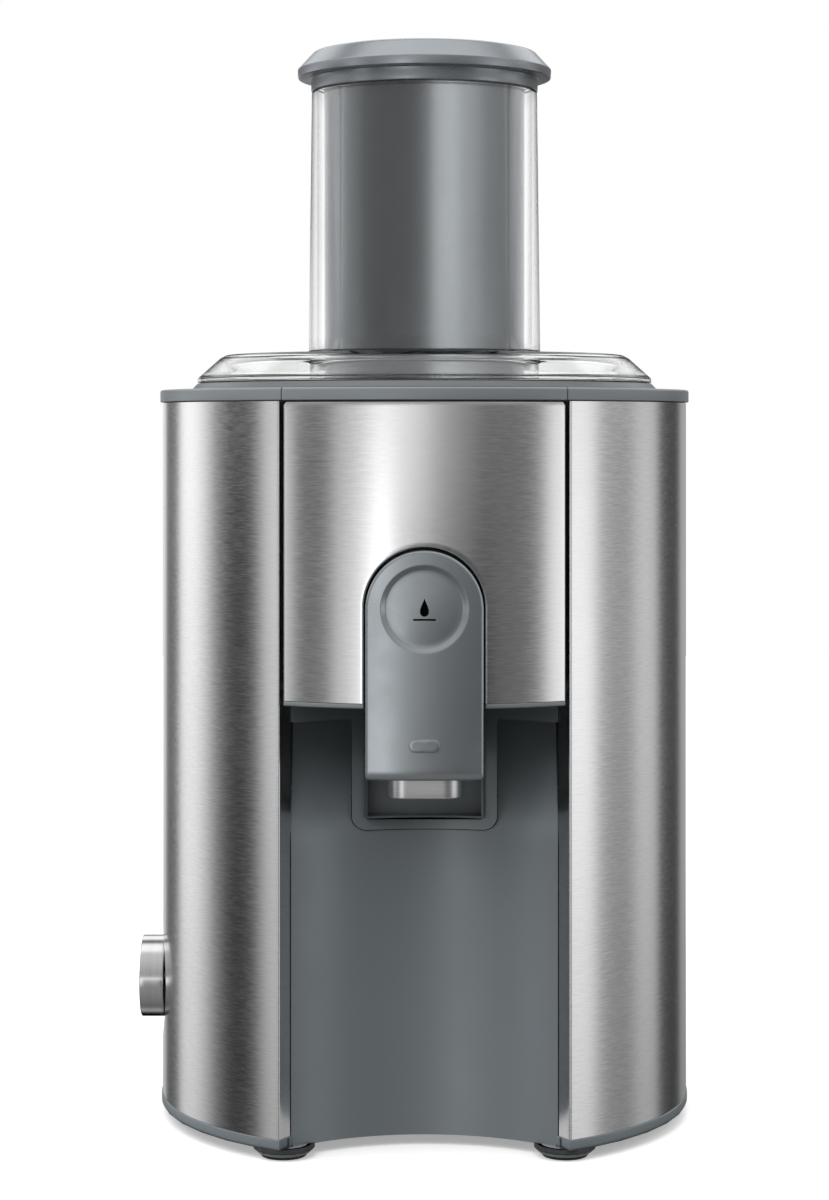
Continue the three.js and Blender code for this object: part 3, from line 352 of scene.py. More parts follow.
LINES = {"Vector": None, "Along": 14.0, "Across": 1500.0}
BRUSHING, given, made = effect("brushing", LINES, ["Streaks", "Fine"])
fine = noise(BRUSHING, stretched(BRUSHING, given[0], given[1], given[1], given[2]), 1.0, 1.0, 0.5)
half = maths(BRUSHING, "MULTIPLY", given[2], 0.23)
broad = noise(BRUSHING, stretched(BRUSHING, given[0], given[1], given[1], half), 0.6, 1.0)
both = maths(BRUSHING, "ADD", maths(BRUSHING, "MULTIPLY", fine, 0.8), maths(BRUSHING, "MULTIPLY", broad, 0.2))
BRUSHING.links.new(both, made[0])
BRUSHING.links.new(fine, made[1])

PEBBLE, given, made = effect("pebble", {"Vector": None, "Per metre": 1600.0}, ["Height", "Tone"])
PEBBLE.links.new(noise(PEBBLE, given[0], given[1], 2.0), made[0])
PEBBLE.links.new(noise(PEBBLE, given[0], 9.0, 3.0), made[1])

HANDLING, given, made = effect("handling", {"Vector": None, "Per metre": 24.0}, ["Smudges"])
HANDLING.links.new(ranged(HANDLING, noise(HANDLING, given[0], given[1], 4.0, 0.6), 0.35, 0.75), made[0])

RUBBED, given, made = effect("rubbed_edges", {"From": 0.6, "To": 0.75}, ["Mask"])
point = put(RUBBED, "ShaderNodeNewGeometry").outputs["Pointiness"]
RUBBED.links.new(ranged(RUBBED, point, given[0], given[1]), made[0])
print("effects:", [g.name for g in bpy.data.node_groups])

# %% [markdown]
# Brushed steel is a grey metal whose gloss changes from line to line. The lines are level on the skins
# and turned on the knob. An image of lines would show a seam, and noise that is stretched far along one
# direction has none. The bump is very small: it only spreads a reflection a little upward and down.

# %% Steel finishes
LINE_RANGE = (0.3, 0.7)  # the part of the noise that lines are made from
LINE_DEPTH, PEBBLE_DEPTH, HOLE_DEPTH = 0.00002, 0.00005, 0.0002  # bump distances in metres


def start(name):
    """A new material: its tree, its Principled shader and the object's own coordinates."""
    made = bpy.data.materials.new(name)
    made.use_nodes = True
    tree = made.node_tree
    return made, tree, tree.nodes["Principled BSDF"], put(tree, "ShaderNodeTexCoord").outputs["Object"]


def placed(tree, group, inputs):
    """The outputs of a node of that group with its inputs set."""
    return put(tree, "ShaderNodeGroup", inputs, node_tree=group).outputs


def wear(made, tree, shader, tone, gloss, height, strength, distance, metallic):
    """Tone and gloss go to the shader, and the height through a Bump node. Gives the material back."""
    bump = put(tree, "ShaderNodeBump", {"Strength": strength, "Distance": distance, "Height": height})
    tree.links.new(tone, shader.inputs["Base Color"])
    tree.links.new(gloss, shader.inputs["Roughness"])
    tree.links.new(bump.outputs[0], shader.inputs["Normal"])
    shader.inputs["Metallic"].default_value = metallic
    return made


def brushed_steel(name, colour, roughness, along=230.0, across=4000.0, vector=None, relief=0.015, depth=0.06):
    """Metal with lines: the lines change its tone by a few parts in a hundred, and its roughness."""
    made, tree, shader, where = start(name)
    if vector is not None:
        where = vector(tree, where)
    brushing = placed(tree, BRUSHING, {"Vector": where, "Along": along, "Across": across})
    lines = brushing["Streaks"]
    smudges = placed(tree, HANDLING, {"Vector": where})["Smudges"]
    colour = colour if isinstance(colour, tuple) else (colour, colour, colour * 1.01)
    low, high = [c * (1 - depth) for c in colour], [c * (1 + depth) for c in colour]
    tone = blend(tree, ranged(tree, lines, *LINE_RANGE), low, high)
    gloss = ranged(tree, lines, *LINE_RANGE, roughness - 0.02, roughness + 0.03)
    gloss = maths(tree, "ADD", gloss, maths(tree, "MULTIPLY", smudges, 0.02))
    return wear(made, tree, shader, tone, gloss, brushing["Fine"], relief, LINE_DEPTH, 1.0)


KNOB_MIDDLE = 50.3


def turned_lines(tree, where):
    """Coordinates whose third part is the distance from the knob's axis plus x: lines in rings."""
    middle = (0, AXIS[1], KNOB_MIDDLE * MM)
    off = put(tree, "ShaderNodeVectorMath", {0: where, 1: middle}, operation="SUBTRACT").outputs[0]
    reach = length(tree, stretched(tree, off, 0.0, 1.0, 1.0))
    x = put(tree, "ShaderNodeSeparateXYZ", {0: off}).outputs[0]
    return put(tree, "ShaderNodeCombineXYZ", {2: maths(tree, "ADD", reach, x)}).outputs[0]


# %% [markdown]
# Moulded plastic has a fine pebble, a tone that drifts a little, and faint smudges of handling. Only the
# dark plastic and the castings have rubbed edges. The lever, cap and rims look like metallic paint, so
# they take part of their shade from the soft boxes. One function makes them all, because they differ
# only in their values. Clear plastic has its own: it lets light through and has no pebble.

# %% Plastic, rubber and clear finishes
RUBBED_TONE = 1.5


def moulded(name, colour, roughness, metallic=0.0, relief=0.15, per_metre=1600.0, drift=0.06, rubbing=0.0):
    """Plastic: the pebble goes to the bump, the drift to the colour, smudges to the roughness."""
    made, tree, shader, where = start(name)
    pebble = placed(tree, PEBBLE, {"Vector": where, "Per metre": per_metre})
    smudges = placed(tree, HANDLING, {"Vector": where})["Smudges"]
    rubbed = placed(tree, RUBBED, {})["Mask"]
    low, high = [c * (1 - drift) for c in colour], [c * (1 + drift) for c in colour]
    tone = blend(tree, pebble["Tone"], low, high)
    tone = blend(tree, maths(tree, "MULTIPLY", rubbed, rubbing), tone, [c * RUBBED_TONE for c in colour])
    gloss = ranged(tree, smudges, 0.0, 1.0, roughness - 0.02, roughness + 0.05)
    return wear(made, tree, shader, tone, gloss, pebble["Height"], relief, PEBBLE_DEPTH, metallic)


CLEAR_INDEX, CLEAR_SHINE = 1.49, 0.4  # how much it bends light, and how much of its mirror image stays
PAINTED_EDGE_SHADE, GRAZING = 0.3, (0.62, 0.88)  # painted shade of a wall that is seen edge on, standing in for its dark edge lines, and what counts as edge on
CHUTE_FROM = (0.289, 0.294)  # the heights in metres over which it sets in


def clear(name, colour, roughness, transmission=1.0):
    """Clear plastic: smudges dull its gloss, and the chute's wall is painted darker where it is seen edge on,
    a painted shade for its dark edge lines.
    """
    made, tree, shader, where = start(name)
    smudges = placed(tree, HANDLING, {"Vector": where})["Smudges"]
    gloss = ranged(tree, smudges, 0.0, 1.0, roughness, roughness + 0.01)
    tint = blend(tree, smudges, colour, [c * 0.985 for c in colour])
    facing = put(tree, "ShaderNodeLayerWeight", {"Blend": 0.5}).outputs["Facing"]
    rising = ranged(tree, put(tree, "ShaderNodeSeparateXYZ", {0: where}).outputs[2], *CHUTE_FROM)
    painted_edge_shade_mask = maths(tree, "MULTIPLY", ranged(tree, facing, *GRAZING), rising)
    # painted shade: the chute wall's colour is darkened where it is seen edge on
    tint = blend(tree, painted_edge_shade_mask, tint, [c * PAINTED_EDGE_SHADE for c in colour])
    tree.links.new(tint, shader.inputs["Base Color"])
    tree.links.new(gloss, shader.inputs["Roughness"])
    shader.inputs["Transmission Weight"].default_value = transmission
    shader.inputs["IOR"].default_value = CLEAR_INDEX
    shader.inputs["Specular Tint"].default_value = (CLEAR_SHINE, CLEAR_SHINE, CLEAR_SHINE, 1)
    return made


# %% [markdown]
# The filter is a steel basket with thousands of tiny holes. Cutting them would take a hundred thousand
# faces or more, and the basket sits deep in the bowl. So they are a pattern: rows of dark dots round
# the basket's axis, every second row moved on by half a step.

# %% Perforated steel
HOLES_ROUND, ROWS_PER_METRE = 190.0, 520.0
HOLE_EDGE, HOLE_TONE = (0.26, 0.36), (0.02, 0.02, 0.022)
PLAIN = (0.8, 0.9)  # how level a face is where it has no holes


def perforated(name, colour, roughness):
    """Dots where the distance from the middle of a cell (turn, row) is small."""
    made, tree, shader, where = start(name)
    low, high = np.array(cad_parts["filter_basket"].bound_box)[[0, 6]]
    centre = tuple((low + high) / 2 * [1, 1, 0])
    off = put(tree, "ShaderNodeVectorMath", {0: where, 1: centre}, operation="SUBTRACT").outputs[0]
    parts = put(tree, "ShaderNodeSeparateXYZ", {0: off}).outputs
    turn = maths(tree, "ARCTAN2", parts[0], parts[1])
    turn = maths(tree, "MULTIPLY", turn, HOLES_ROUND / (2 * math.pi))
    row = maths(tree, "MULTIPLY", parts[2], ROWS_PER_METRE)
    moved = maths(tree, "MULTIPLY", maths(tree, "PINGPONG", maths(tree, "FLOOR", row), 1.0), 0.5)
    across_cell = maths(tree, "SUBTRACT", maths(tree, "FRACT", maths(tree, "ADD", turn, moved)), 0.5)
    up_cell = maths(tree, "SUBTRACT", maths(tree, "FRACT", row), 0.5)
    flat = put(tree, "ShaderNodeCombineXYZ", {0: across_cell, 1: up_cell}).outputs[0]
    sheet = ranged(tree, length(tree, flat), *HOLE_EDGE)
    normal = put(tree, "ShaderNodeNewGeometry").outputs["Normal"]
    level = maths(tree, "ABSOLUTE", put(tree, "ShaderNodeSeparateXYZ", {0: normal}).outputs[2])
    sheet = maths(tree, "MAXIMUM", sheet, ranged(tree, level, *PLAIN))
    lines = placed(tree, BRUSHING, {"Vector": where, "Along": 60.0, "Across": 1500.0})["Streaks"]
    steel = blend(tree, lines, [c * 0.94 for c in colour], colour)
    tone = blend(tree, sheet, HOLE_TONE, steel)
    gloss = ranged(tree, lines, 0.2, 0.8, roughness, roughness + 0.08)
    return wear(made, tree, shader, tone, gloss, sheet, 0.5, HOLE_DEPTH, 1.0)


# %% [markdown]
# The values that tell one finish from another stand side by side in a table for each kind.
# Each finish is paired with the name of a slot of the record.

# %% The finishes by name
STEELS = {
    "skin_steel": (0.62, 0.17),
    "tip_steel": (0.6, 0.32, 60.0, 3000.0, None, 0.015, 0.08),
    "knob_steel": (0.64, 0.2, 0.0, 2400.0, turned_lines),
    "copper": ((0.72, 0.36, 0.2), 0.3, 60.0, 1500.0, None, 0.015, 0.25),
    "machined_steel": (0.5, 0.25, 30.0, 900.0),
    "motor_iron": (0.3, 0.45, 2.0, 1300.0, None, 0.015, 0.3),
    "disc_steel": (0.6, 0.22, 60.0, 1500.0),
}  # colour, roughness, lines along and across, coordinates, relief and depth of tone
PLASTICS = {
    "grey_plastic": ((0.17, 0.195, 0.21), 0.42),
    "bay_plastic": ((0.192, 0.217, 0.23), 0.34, 0.18, 0.15, 1600.0, 0.03),
    # painted light: the cups' plastic is the grey plastic made lighter, for cups that sit in the base's
    # shadow
    "cup_plastic_painted_light": ((0.26, 0.283, 0.297), 0.45),
    "bowl_plastic": ((0.115, 0.125, 0.13), 0.4),
    "lever_plastic": ((0.3, 0.325, 0.34), 0.24, 0.75, 0.02, 1600.0, 0.02),
    "rim_plastic": ((0.215, 0.237, 0.252), 0.4, 0.2, 0.05),
    "cap_plastic": ((0.275, 0.295, 0.315), 0.27, 0.55, 0.03),
    "pusher_plastic": ((0.295, 0.31, 0.325), 0.12, 0.8, 0.001, 1600.0, 0.03),
    "dark_plastic": ((0.035, 0.038, 0.042), 0.5, 0.0, 0.15, 1600.0, 0.06, 0.15),
    "sign_paint": ((0.004, 0.005, 0.005), 0.8, 1.0, 0.02),
    "rubber": ((0.02, 0.021, 0.023), 0.7, 0.0, 0.15, 900.0),
    "cast_aluminium": ((0.45, 0.45, 0.46), 0.5, 0.9, 0.6, 700.0, 0.06, 0.2),
    "circuit_board": ((0.03, 0.14, 0.06), 0.45),
}  # colour, roughness, how metallic, relief, pebbles per metre, drift and rubbing
CLEARS = {
    "smoked_plastic": ((0.3, 0.33, 0.35), 0.08, 0.55),
    "clear_plastic": ((0.985, 0.992, 0.99), 0.0),
}  # colour, roughness and how clear
MATERIALS = {name: brushed_steel(name, *values) for name, values in STEELS.items()}
MATERIALS |= {name: moulded(name, *values) for name, values in PLASTICS.items()}
MATERIALS |= {name: clear(name, *values) for name, values in CLEARS.items()}
MATERIALS["filter_steel"] = perforated("filter_steel", (0.62, 0.62, 0.63), 0.25)
SLOTS = {
    "brushed_steel": ["skin_steel", "tip_steel", "knob_steel"],
    "grey_plastic": ["bay_plastic", "cup_plastic_painted_light", "bowl_plastic", "lever_plastic", "rim_plastic",
                     "cap_plastic"],
    "dark_plastic": ["sign_paint"],
    "filter_steel": ["disc_steel"],
}  # which finishes share a slot; every other one has the slot of its own name
slot_of = {name: slot for slot, names in SLOTS.items() for name in names}
FINISHES = {name: (slot_of.get(name, name), material) for name, material in MATERIALS.items()}
print(len(FINISHES), "finishes")

# %% [markdown]
# Every new piece is a grid of points. It could be pushed into shape by hand, but a formula keeps its
# sizes true and lets them be read. One function gives the grid's quads and another makes the mesh: it
# closes poles and seams by merging points that meet, and turns the faces outward.

# %% From a grid of points to a piece
MERGE = 2e-6  # metres within which points are one
SHARP_FROM, BEVEL_FROM = 34, 40  # degrees from which an edge is sharp, and from which it is rounded


def grid_faces(rows, columns, close_rows=False, close_columns=False):
    """Quads of a grid: point (i, j) with its neighbours in the next row and column."""
    i, j = np.meshgrid(
        np.arange(rows if close_rows else rows - 1),
        np.arange(columns if close_columns else columns - 1),
        indexing="ij",
    )
    down, right = (i + 1) % rows, (j + 1) % columns
    return np.stack([i * columns + j, i * columns + right, down * columns + right, down * columns + j], -1)


def face_outward(mesh, heart):
    """Merges what meets and makes the faces agree. A closed piece gets a positive volume, and an open
    sheet looks away from its heart: the sum of area times normal . (centre - heart) is positive."""
    work = bmesh.new()
    work.from_mesh(mesh)
    bmesh.ops.remove_doubles(work, verts=work.verts, dist=MERGE)
    loose = [v for v in work.verts if not v.link_faces]
    bmesh.ops.delete(work, geom=loose, context="VERTS")
    bmesh.ops.recalc_face_normals(work, faces=work.faces)
    if all(edge.is_manifold for edge in work.edges):
        score = work.calc_volume(signed=True)
    else:
        score = sum(f.calc_area() * f.normal.dot(f.calc_center_median() - heart) for f in work.faces)
    if score < 0:
        bmesh.ops.reverse_faces(work, faces=work.faces)
    work.to_mesh(mesh)
    work.free()


def shell(name, points, close_rows=False, close_columns=False, keep=None, lids=(), heart=(0, 0, 150)):
    """A piece from a grid of points in millimetres about the axis. Lids close the first or last row."""
    rows, columns = points.shape[:2]
    faces = grid_faces(rows, columns, close_rows, close_columns)
    faces = faces.reshape(-1, 4) if keep is None else faces[keep]
    rims = {"first": list(range(columns)), "last": list(range((rows - 1) * columns, rows * columns))}
    mesh = bpy.data.meshes.new(name)
    places = points.reshape(-1, 3) * MM + AXIS
    mesh.from_pydata(places.tolist(), [], faces.tolist() + [rims[lid] for lid in lids])
    face_outward(mesh, Vector(np.array(heart, float) * MM + AXIS))
    mesh.polygons.foreach_set("use_smooth", np.ones(len(mesh.polygons), bool))
    mesh.set_sharp_from_angle(angle=math.radians(SHARP_FROM))
    made = bpy.data.objects.new(name, mesh)
    bpy.context.scene.collection.objects.link(made)
    return made


CAPPED = {"close_columns": True, "lids": ("first", "last")}  # a bar or a stack of rings, closed at its ends
RING = {"close_rows": True, "close_columns": True}  # a section carried all the way round
TURNED = {"close_columns": True}  # a profile that starts and ends on its axis


def fit(piece, body, finish, *stands_for):
    """Gives a piece its finish and the body that it rides on, and hides the CAD nodes that it stands for."""
    slot, material = FINISHES[finish]
    piece.data.materials.clear()
    piece.data.materials.append(material)
    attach(piece, body)
    if stands_for:
        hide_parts(*stands_for)
    print(f"{piece.name}: {len(piece.data.polygons)} faces on {body}")
    return piece


def thicken(piece, wall, edge=0.0):
    """A sheet gets its wall, on the inside, and its cut edges a small round."""
    solid = piece.modifiers.new("wall", "SOLIDIFY")
    solid.thickness = wall * MM
    solid.offset = -1
    solid.use_even_offset = True
    if edge:
        soften(piece, edge)
    return piece


def soften(piece, edge, segments=3):
    """Rounds the sharp edges of a piece."""
    bevel = piece.modifiers.new("edge", "BEVEL")
    bevel.width = edge * MM
    bevel.segments = segments
    bevel.limit_method = "ANGLE"
    bevel.angle_limit = math.radians(BEVEL_FROM)
    bevel.harden_normals = True
    return piece


# %% [markdown]
# A maker's drawing gives a profile as corners and radii, so the helpers take it in that form. They turn
# corners into arcs, walk a path in even steps, place values closer together where a shape needs it, and
# make a grid out of rings.

# %% Profiles and paths
def rounded(corners, closed=True, steps=6):
    """A polyline of (x, y, radius) whose corners are arcs. The arc leaves each side at the distance
    radius / tan(half the corner's angle), and turns about a centre on the corner's bisector."""
    places = np.array([c[:2] for c in corners], float)
    path = []
    for i, (place, corner) in enumerate(zip(places, corners)):
        radius = corner[2] if len(corner) > 2 else 0
        if radius == 0 or (not closed and i in (0, len(places) - 1)):
            path.append(place)
            continue
        a = places[i - 1] - place
        b = places[(i + 1) % len(places)] - place
        a, b = a / np.hypot(*a), b / np.hypot(*b)
        half = math.acos(np.clip(a @ b, -1, 1)) / 2
        middle = (a + b) / np.hypot(*(a + b))
        centre = place + middle * radius / math.sin(half)
        x, y = place + a * radius / math.tan(half) - centre
        side = 1 if a[0] * b[1] - a[1] * b[0] < 0 else -1
        for t in np.linspace(0, side * (math.pi - 2 * half), steps + 1):
            c, s = math.cos(t), math.sin(t)
            path.append(centre + [x * c - y * s, x * s + y * c])
    return np.array(path)


def evenly(path, count, closed=False):
    """A path walked in count even steps along its length."""
    path = np.vstack([path, path[:1]]) if closed else np.asarray(path, float)
    length = np.concatenate([[0], np.cumsum(np.hypot(*np.diff(path, axis=0).T))])
    at = np.linspace(0, length[-1], count, endpoint=not closed)
    return np.stack([np.interp(at, length, path[:, k]) for k in (0, 1)], -1)


def by_parts(parts, counts):
    """Several paths joined, each walked in its own number of steps."""
    walked = [evenly(np.array(part, float), n + 1)[:-1] for part, n in zip(parts, counts)]
    return np.vstack(walked + [np.array(parts[-1], float)[-1:]])


def both_sides(left, middle, counts, count):
    """Paths on the left, one across the middle, and those on the left again, mirrored to the right."""
    right = [np.array(part, float)[::-1] * [-1, 1] for part in left[::-1]]
    return by_parts([*left, middle, *right], [*counts, count, *counts[::-1]])


def filled(path, longest, closed=True):
    """A path with points added so that no step is longer than longest; its own points all stay."""
    ends = np.roll(path, -1, 0) if closed else path[1:]
    out = []
    for a, b in zip(path, ends):
        count = max(1, math.ceil(np.hypot(*(b - a)) / longest))
        out.extend(a + (b - a) * k / count for k in range(count))
    if not closed:
        out.append(path[-1])
    return np.array(out)


def open_profile(corners, longest, steps=6):
    """An open polyline with its corners rounded and its edges split to that length."""
    return filled(rounded(corners, False, steps), longest, False)


def smooth(t):
    """The smooth step t^2 (3 - 2 t) of t kept within 0 and 1."""
    t = np.clip(t, 0, 1)
    return t * t * (3 - 2 * t)


def stretches(stops, steps):
    """Values from stop to stop, each stretch with its own largest step."""
    runs = [np.linspace(a, b, max(1, math.ceil((b - a) / s)), endpoint=False)
            for a, b, s in zip(stops, stops[1:], steps)]
    return np.concatenate(runs + [[stops[-1]]])


def across(path, closed=False):
    """Unit normals of a plan path, on its left-hand side."""
    if closed:
        along = np.roll(path, -1, 0) - np.roll(path, 1, 0)
    else:
        along = np.gradient(path, axis=0)
    along /= np.hypot(*along.T)[:, None]
    return np.stack([-along[:, 1], along[:, 0]], -1)


def raised(plan, z):
    """A grid of plan points (i, j) with the height z[j]."""
    return np.concatenate([plan, np.broadcast_to(z[None, :, None], (*plan.shape[:2], 1))], -1)


def ringed(rings):
    """Rings of (plan, height), as a grid."""
    return np.array([np.column_stack([plan, np.full(len(plan), z)]) for plan, z in rings])


def stacked(rows):
    """Rows of (outline, out), as a grid of outline points and one of out."""
    flat = np.array([outline for outline, _ in rows])
    return flat, np.array([out for _, out in rows])[:, None] * np.ones(flat.shape[1])


def lathe(corners, longest, sides=144, steps=6):
    """An open profile from corners of (r, z), turned about the motor axis."""
    return turned(open_profile(corners, longest, steps), sides)


def turned(profile, sides=144):
    """A profile of (r, z) about the motor axis: (r sin a, -r cos a, z) for each angle a."""
    angle = np.linspace(0, 2 * np.pi, sides, endpoint=False)
    r, z = np.asarray(profile, float).T
    ones = np.ones_like(angle)
    return np.stack([np.outer(r, np.sin(angle)), -np.outer(r, np.cos(angle)), np.outer(z, ones)], -1)


# %% [markdown]
# ## Casing
# The skins, rims and front panel all lie on one surface: half round in front, with straight sides
# behind. Bent one by one they would not quite meet, and on one shared surface their joints are even.
# Unrolled, a point on it is a distance round the casing, a height, and a distance outward.

# %% The casing's surface, unrolled
QUARTER = CASING_R * np.pi / 2


def on_casing(s, z, out=0.0):
    """s is the distance round the casing from the middle of the front. Up to a quarter turn the point
    turns about the motor axis by s / R, and past it it runs straight back."""
    s, z, out = np.broadcast_arrays(np.asarray(s, float), z, out)
    angle = np.clip(s, -QUARTER, QUARTER) / CASING_R
    back = np.abs(s) - np.abs(angle) * CASING_R
    radius = CASING_R + out
    return np.stack([radius * np.sin(angle), back - radius * np.cos(angle), z], -1)


def round_casing(s, section):
    """A section of (out, z) carried round the casing through the distances s."""
    out, z = np.asarray(section, float).T
    return on_casing(s[:, None], z[None, :], out[None, :])


SKIN_END = QUARTER + SKIN_BACK
print(f"the skin reaches {SKIN_END:.0f} mm round each side")

# %% [markdown]
# A side skin is one sheet of steel. It comes from the back, rounds the casing, rolls over at the front
# corner and turns back into the jug bay. Its plan is a path, with the height as the second direction.
# On the left, the sheet is dished round the knob: the points there move toward the motor's axis by a
# smooth step of the distance from the knob's middle. The latch's window could be cut with a Boolean,
# but leaving out the cells inside it keeps the grid clean.

# %% Side skins
STEEL = 0.8
CORNER = (51.5, -85.7)
BAY_END = (47.4, -78.8)
CORNER_ROLL = 0.7
knob_low, knob_high = span("switch_knob")
KNOB_Z = (knob_low[2] + knob_high[2]) / 2
DISH_R, DISH_DEPTH, DISH_SLOPE = 23.2, 1.3, 2.6
DISH_S, DISH_Z = 26, 25  # the grid is fine as far as this from the knob's middle
DISH_X = -80  # only points left of this are dished
latch_low, latch_high = span("left_latch")
WINDOW_Y = (latch_low[1] + 1.3, latch_high[1] - 1.3)
WINDOW_Z = (latch_low[2] - 0.2, latch_high[2] + 0.6)


def skin_path():
    """Plan of the left skin from its back end to the end of its return in the jug bay."""
    corner_s = CASING_R * math.atan2(CORNER[0], -CORNER[1])
    s = stretches([-SKIN_END, -QUARTER - WINDOW_Y[1], -QUARTER - WINDOW_Y[0], -QUARTER - DISH_S,
                   -QUARTER + DISH_S, -corner_s - 2.5], [4, 3, 1.5, 0.8, 1.5])
    round_part = on_casing(s, 0.0)[:, :2]
    corners = [(*round_part[-1],), (-CORNER[0], CORNER[1], CORNER_ROLL), (-BAY_END[0], BAY_END[1], 0.5),
               (-BAY_END[0] - 0.3, BAY_END[1] + 2.2)]
    return np.vstack([round_part[:-1], open_profile(corners, 1.5, 10)])


def side_skin(name, side):
    """Point (i, j) is plan point i at height j, moved inward by the dish's depth there."""
    path = skin_path()
    z = stretches([SKIN_FOOT, KNOB_Z - DISH_Z, KNOB_Z + DISH_Z, *WINDOW_Z, SKIN_TOP], [3, 0.8, 4, 3, 0.6])
    plan = np.repeat(path[:, None, :], len(z), 1)
    if side < 0:
        reach = np.hypot(plan[..., 1], z - KNOB_Z)
        depth = DISH_DEPTH * smooth((DISH_R - reach) / DISH_SLOPE) * (plan[..., 0] < DISH_X)
        arm = np.stack([plan[..., 0], np.minimum(plan[..., 1], 0)], -1)
        plan = plan - arm * (depth / np.hypot(arm[..., 0], arm[..., 1]))[..., None]
    middle_y = (path[:-1, 1] + path[1:, 1]) / 2
    middle_z = (z[:-1] + z[1:]) / 2
    in_y = (middle_y > WINDOW_Y[0]) & (middle_y < WINDOW_Y[1])
    in_z = (middle_z > WINDOW_Z[0]) & (middle_z < WINDOW_Z[1])
    points = raised(plan, z) * [-side, 1, 1]
    sheet = shell(name, points, keep=~(in_y[:, None] & in_z[None, :]), heart=(side * 60, 0, 150))
    return thicken(sheet, STEEL, 0.3)


SIDES = (("left", -1), ("right", 1))
for label, side in SIDES:
    fit(side_skin(f"steel_skin_{label}", side), "base", "skin_steel", f"{label}_side_panel")

# %% [markdown]
# The rims close the top of the skins. They are moulded bands with a soft upper edge, split where the
# lift-out front panel stands between them. A curve with a bevel could make such a band, but a section
# that is carried on the casing's own surface is sure to lie flush with the skins. A band of the base
# shows below the skins in the same way.

# %% Rims and base band
CARRIER_ANGLE = math.radians(30)
CARRIER_S = CASING_R * CARRIER_ANGLE
SEAM, RIM_BACK = 0.35, 46  # the gap beside the front panel, and how far back the rims run
RIM_INSIDE = -10.4


def band(name, s, section):
    """A closed section carried round the casing, closed at both ends."""
    return shell(name, round_casing(s, section), **CAPPED)


def rim_section(out, inner, z0, z1, r_top, r_foot):
    """A band's section, with a soft outer edge above and below."""
    corners = [(inner, z0, 0.2), (out, z0, r_foot), (out, z1, r_top), (inner, z1, 0.4)]
    return filled(rounded(corners), 2.0)


rim_profile = rim_section(RIM_R - CASING_R, RIM_INSIDE, RIM_FOOT, RIM_TOP, 0.9, 0.35)
side_s = stretches([CARRIER_S + SEAM, QUARTER, QUARTER + RIM_BACK], [1.5, 6])
for label, side in SIDES:
    fit(band(f"rim_band_{label}", side * side_s, rim_profile), "base", "rim_plastic", f"{label}_rim")

BACK_Y = span("base_tray")[1][1]
REAR_Y = 85.0  # where the straight sides end and the rear curve starts
BASE_END = (-47.1, -78.5)  # the end of the base's wall in the jug bay


def base_path(out):
    """Plan of the base at a distance out from its wall, from the jug bay's left side round the back to
    its right side. The corner is where the bay's straight return meets the casing's circle."""
    foot, tip = np.array(BASE_END), np.array([-CORNER[0], CORNER[1]])
    along = (tip - foot) / np.hypot(*(tip - foot))
    start = foot + np.array([-along[1], along[0]]) * out
    radius = CASING_R + out
    lean = start @ along
    corner = start + along * (-lean + math.sqrt(lean * lean - start @ start + radius * radius))
    front = np.linspace(math.atan2(corner[0], -corner[1]), -np.pi / 2, 60)
    left = np.stack([radius * np.sin(front), -radius * np.cos(front)], -1)
    side = np.stack([np.full(20, -radius), np.linspace(4, REAR_Y - 4, 20)], -1)
    turn = np.linspace(-np.pi / 2, 0, 50)
    rear = np.stack([radius * np.sin(turn), REAR_Y + (BACK_Y - REAR_Y + out) * np.cos(turn)], -1)
    half = np.vstack([[start], left, side, rear])
    return np.vstack([half, (half * [-1, 1])[::-1][1:]])


BAND_TOP = SKIN_FOOT - 0.1
band_corners = [(-2.4, BASE_FOOT), (0.4, BASE_FOOT, 1.2), (0.4, BAND_TOP, 0.3), (-2.4, BAND_TOP)]
band_points = ringed([(base_path(out), z) for out, z in filled(rounded(band_corners), 1.5)])
fit(shell("base_band", np.swapaxes(band_points, 0, 1), **CAPPED), "base", "grey_plastic")

# %% [markdown]
# ## Front panel
# The lift-out panel has an arched notch for the spout lever. Its grid is a horseshoe: rows run from
# the notch's outline to the panel's outline. Cutting the arch out of a square grid would leave steps or
# thin faces, and rows that follow it stay smooth. The sheet's edge rolls inward at both outlines, which
# is what catches the light as a bright line.

# %% Front skin
lever_low, lever_high = span("spout_lever")
LEVER_HALF = lever_high[0] - 0.6
ARCH_Z = lever_high[2] - lever_high[0]
NOTCH_HALF = LEVER_HALF + 0.75
front_low, front_high = span("front_panel")
FRONT_FOOT, FRONT_TOP = front_low[2] - 0.5, front_high[2]
FRONT_HALF = CASING_R * math.sin(CARRIER_ANGLE)


def arch(half, centre_z):
    """Half a circle over a notch, from its left end over the top to its right end."""
    a = np.linspace(-np.pi / 2, np.pi / 2, 90)
    return np.stack([half * np.sin(a), centre_z + half * np.cos(a)], -1)


def hemmed(inner, outer, hem_in, hem_out, steps):
    """Rows of (outline, out) from the inner outline to the outer one. A hem is a list of (inset, out)."""
    away, inward = across(inner), -across(outer)
    rows = [(inner + away * e, o) for e, o in hem_in]
    a, b = rows[-1][0], outer + inward * hem_out[-1][0]
    rows += [(a + (b - a) * t, hem_in[-1][1]) for t in np.linspace(0, 1, steps)[1:-1]]
    return stacked(rows + [(outer + inward * e, o) for e, o in hem_out[::-1]])


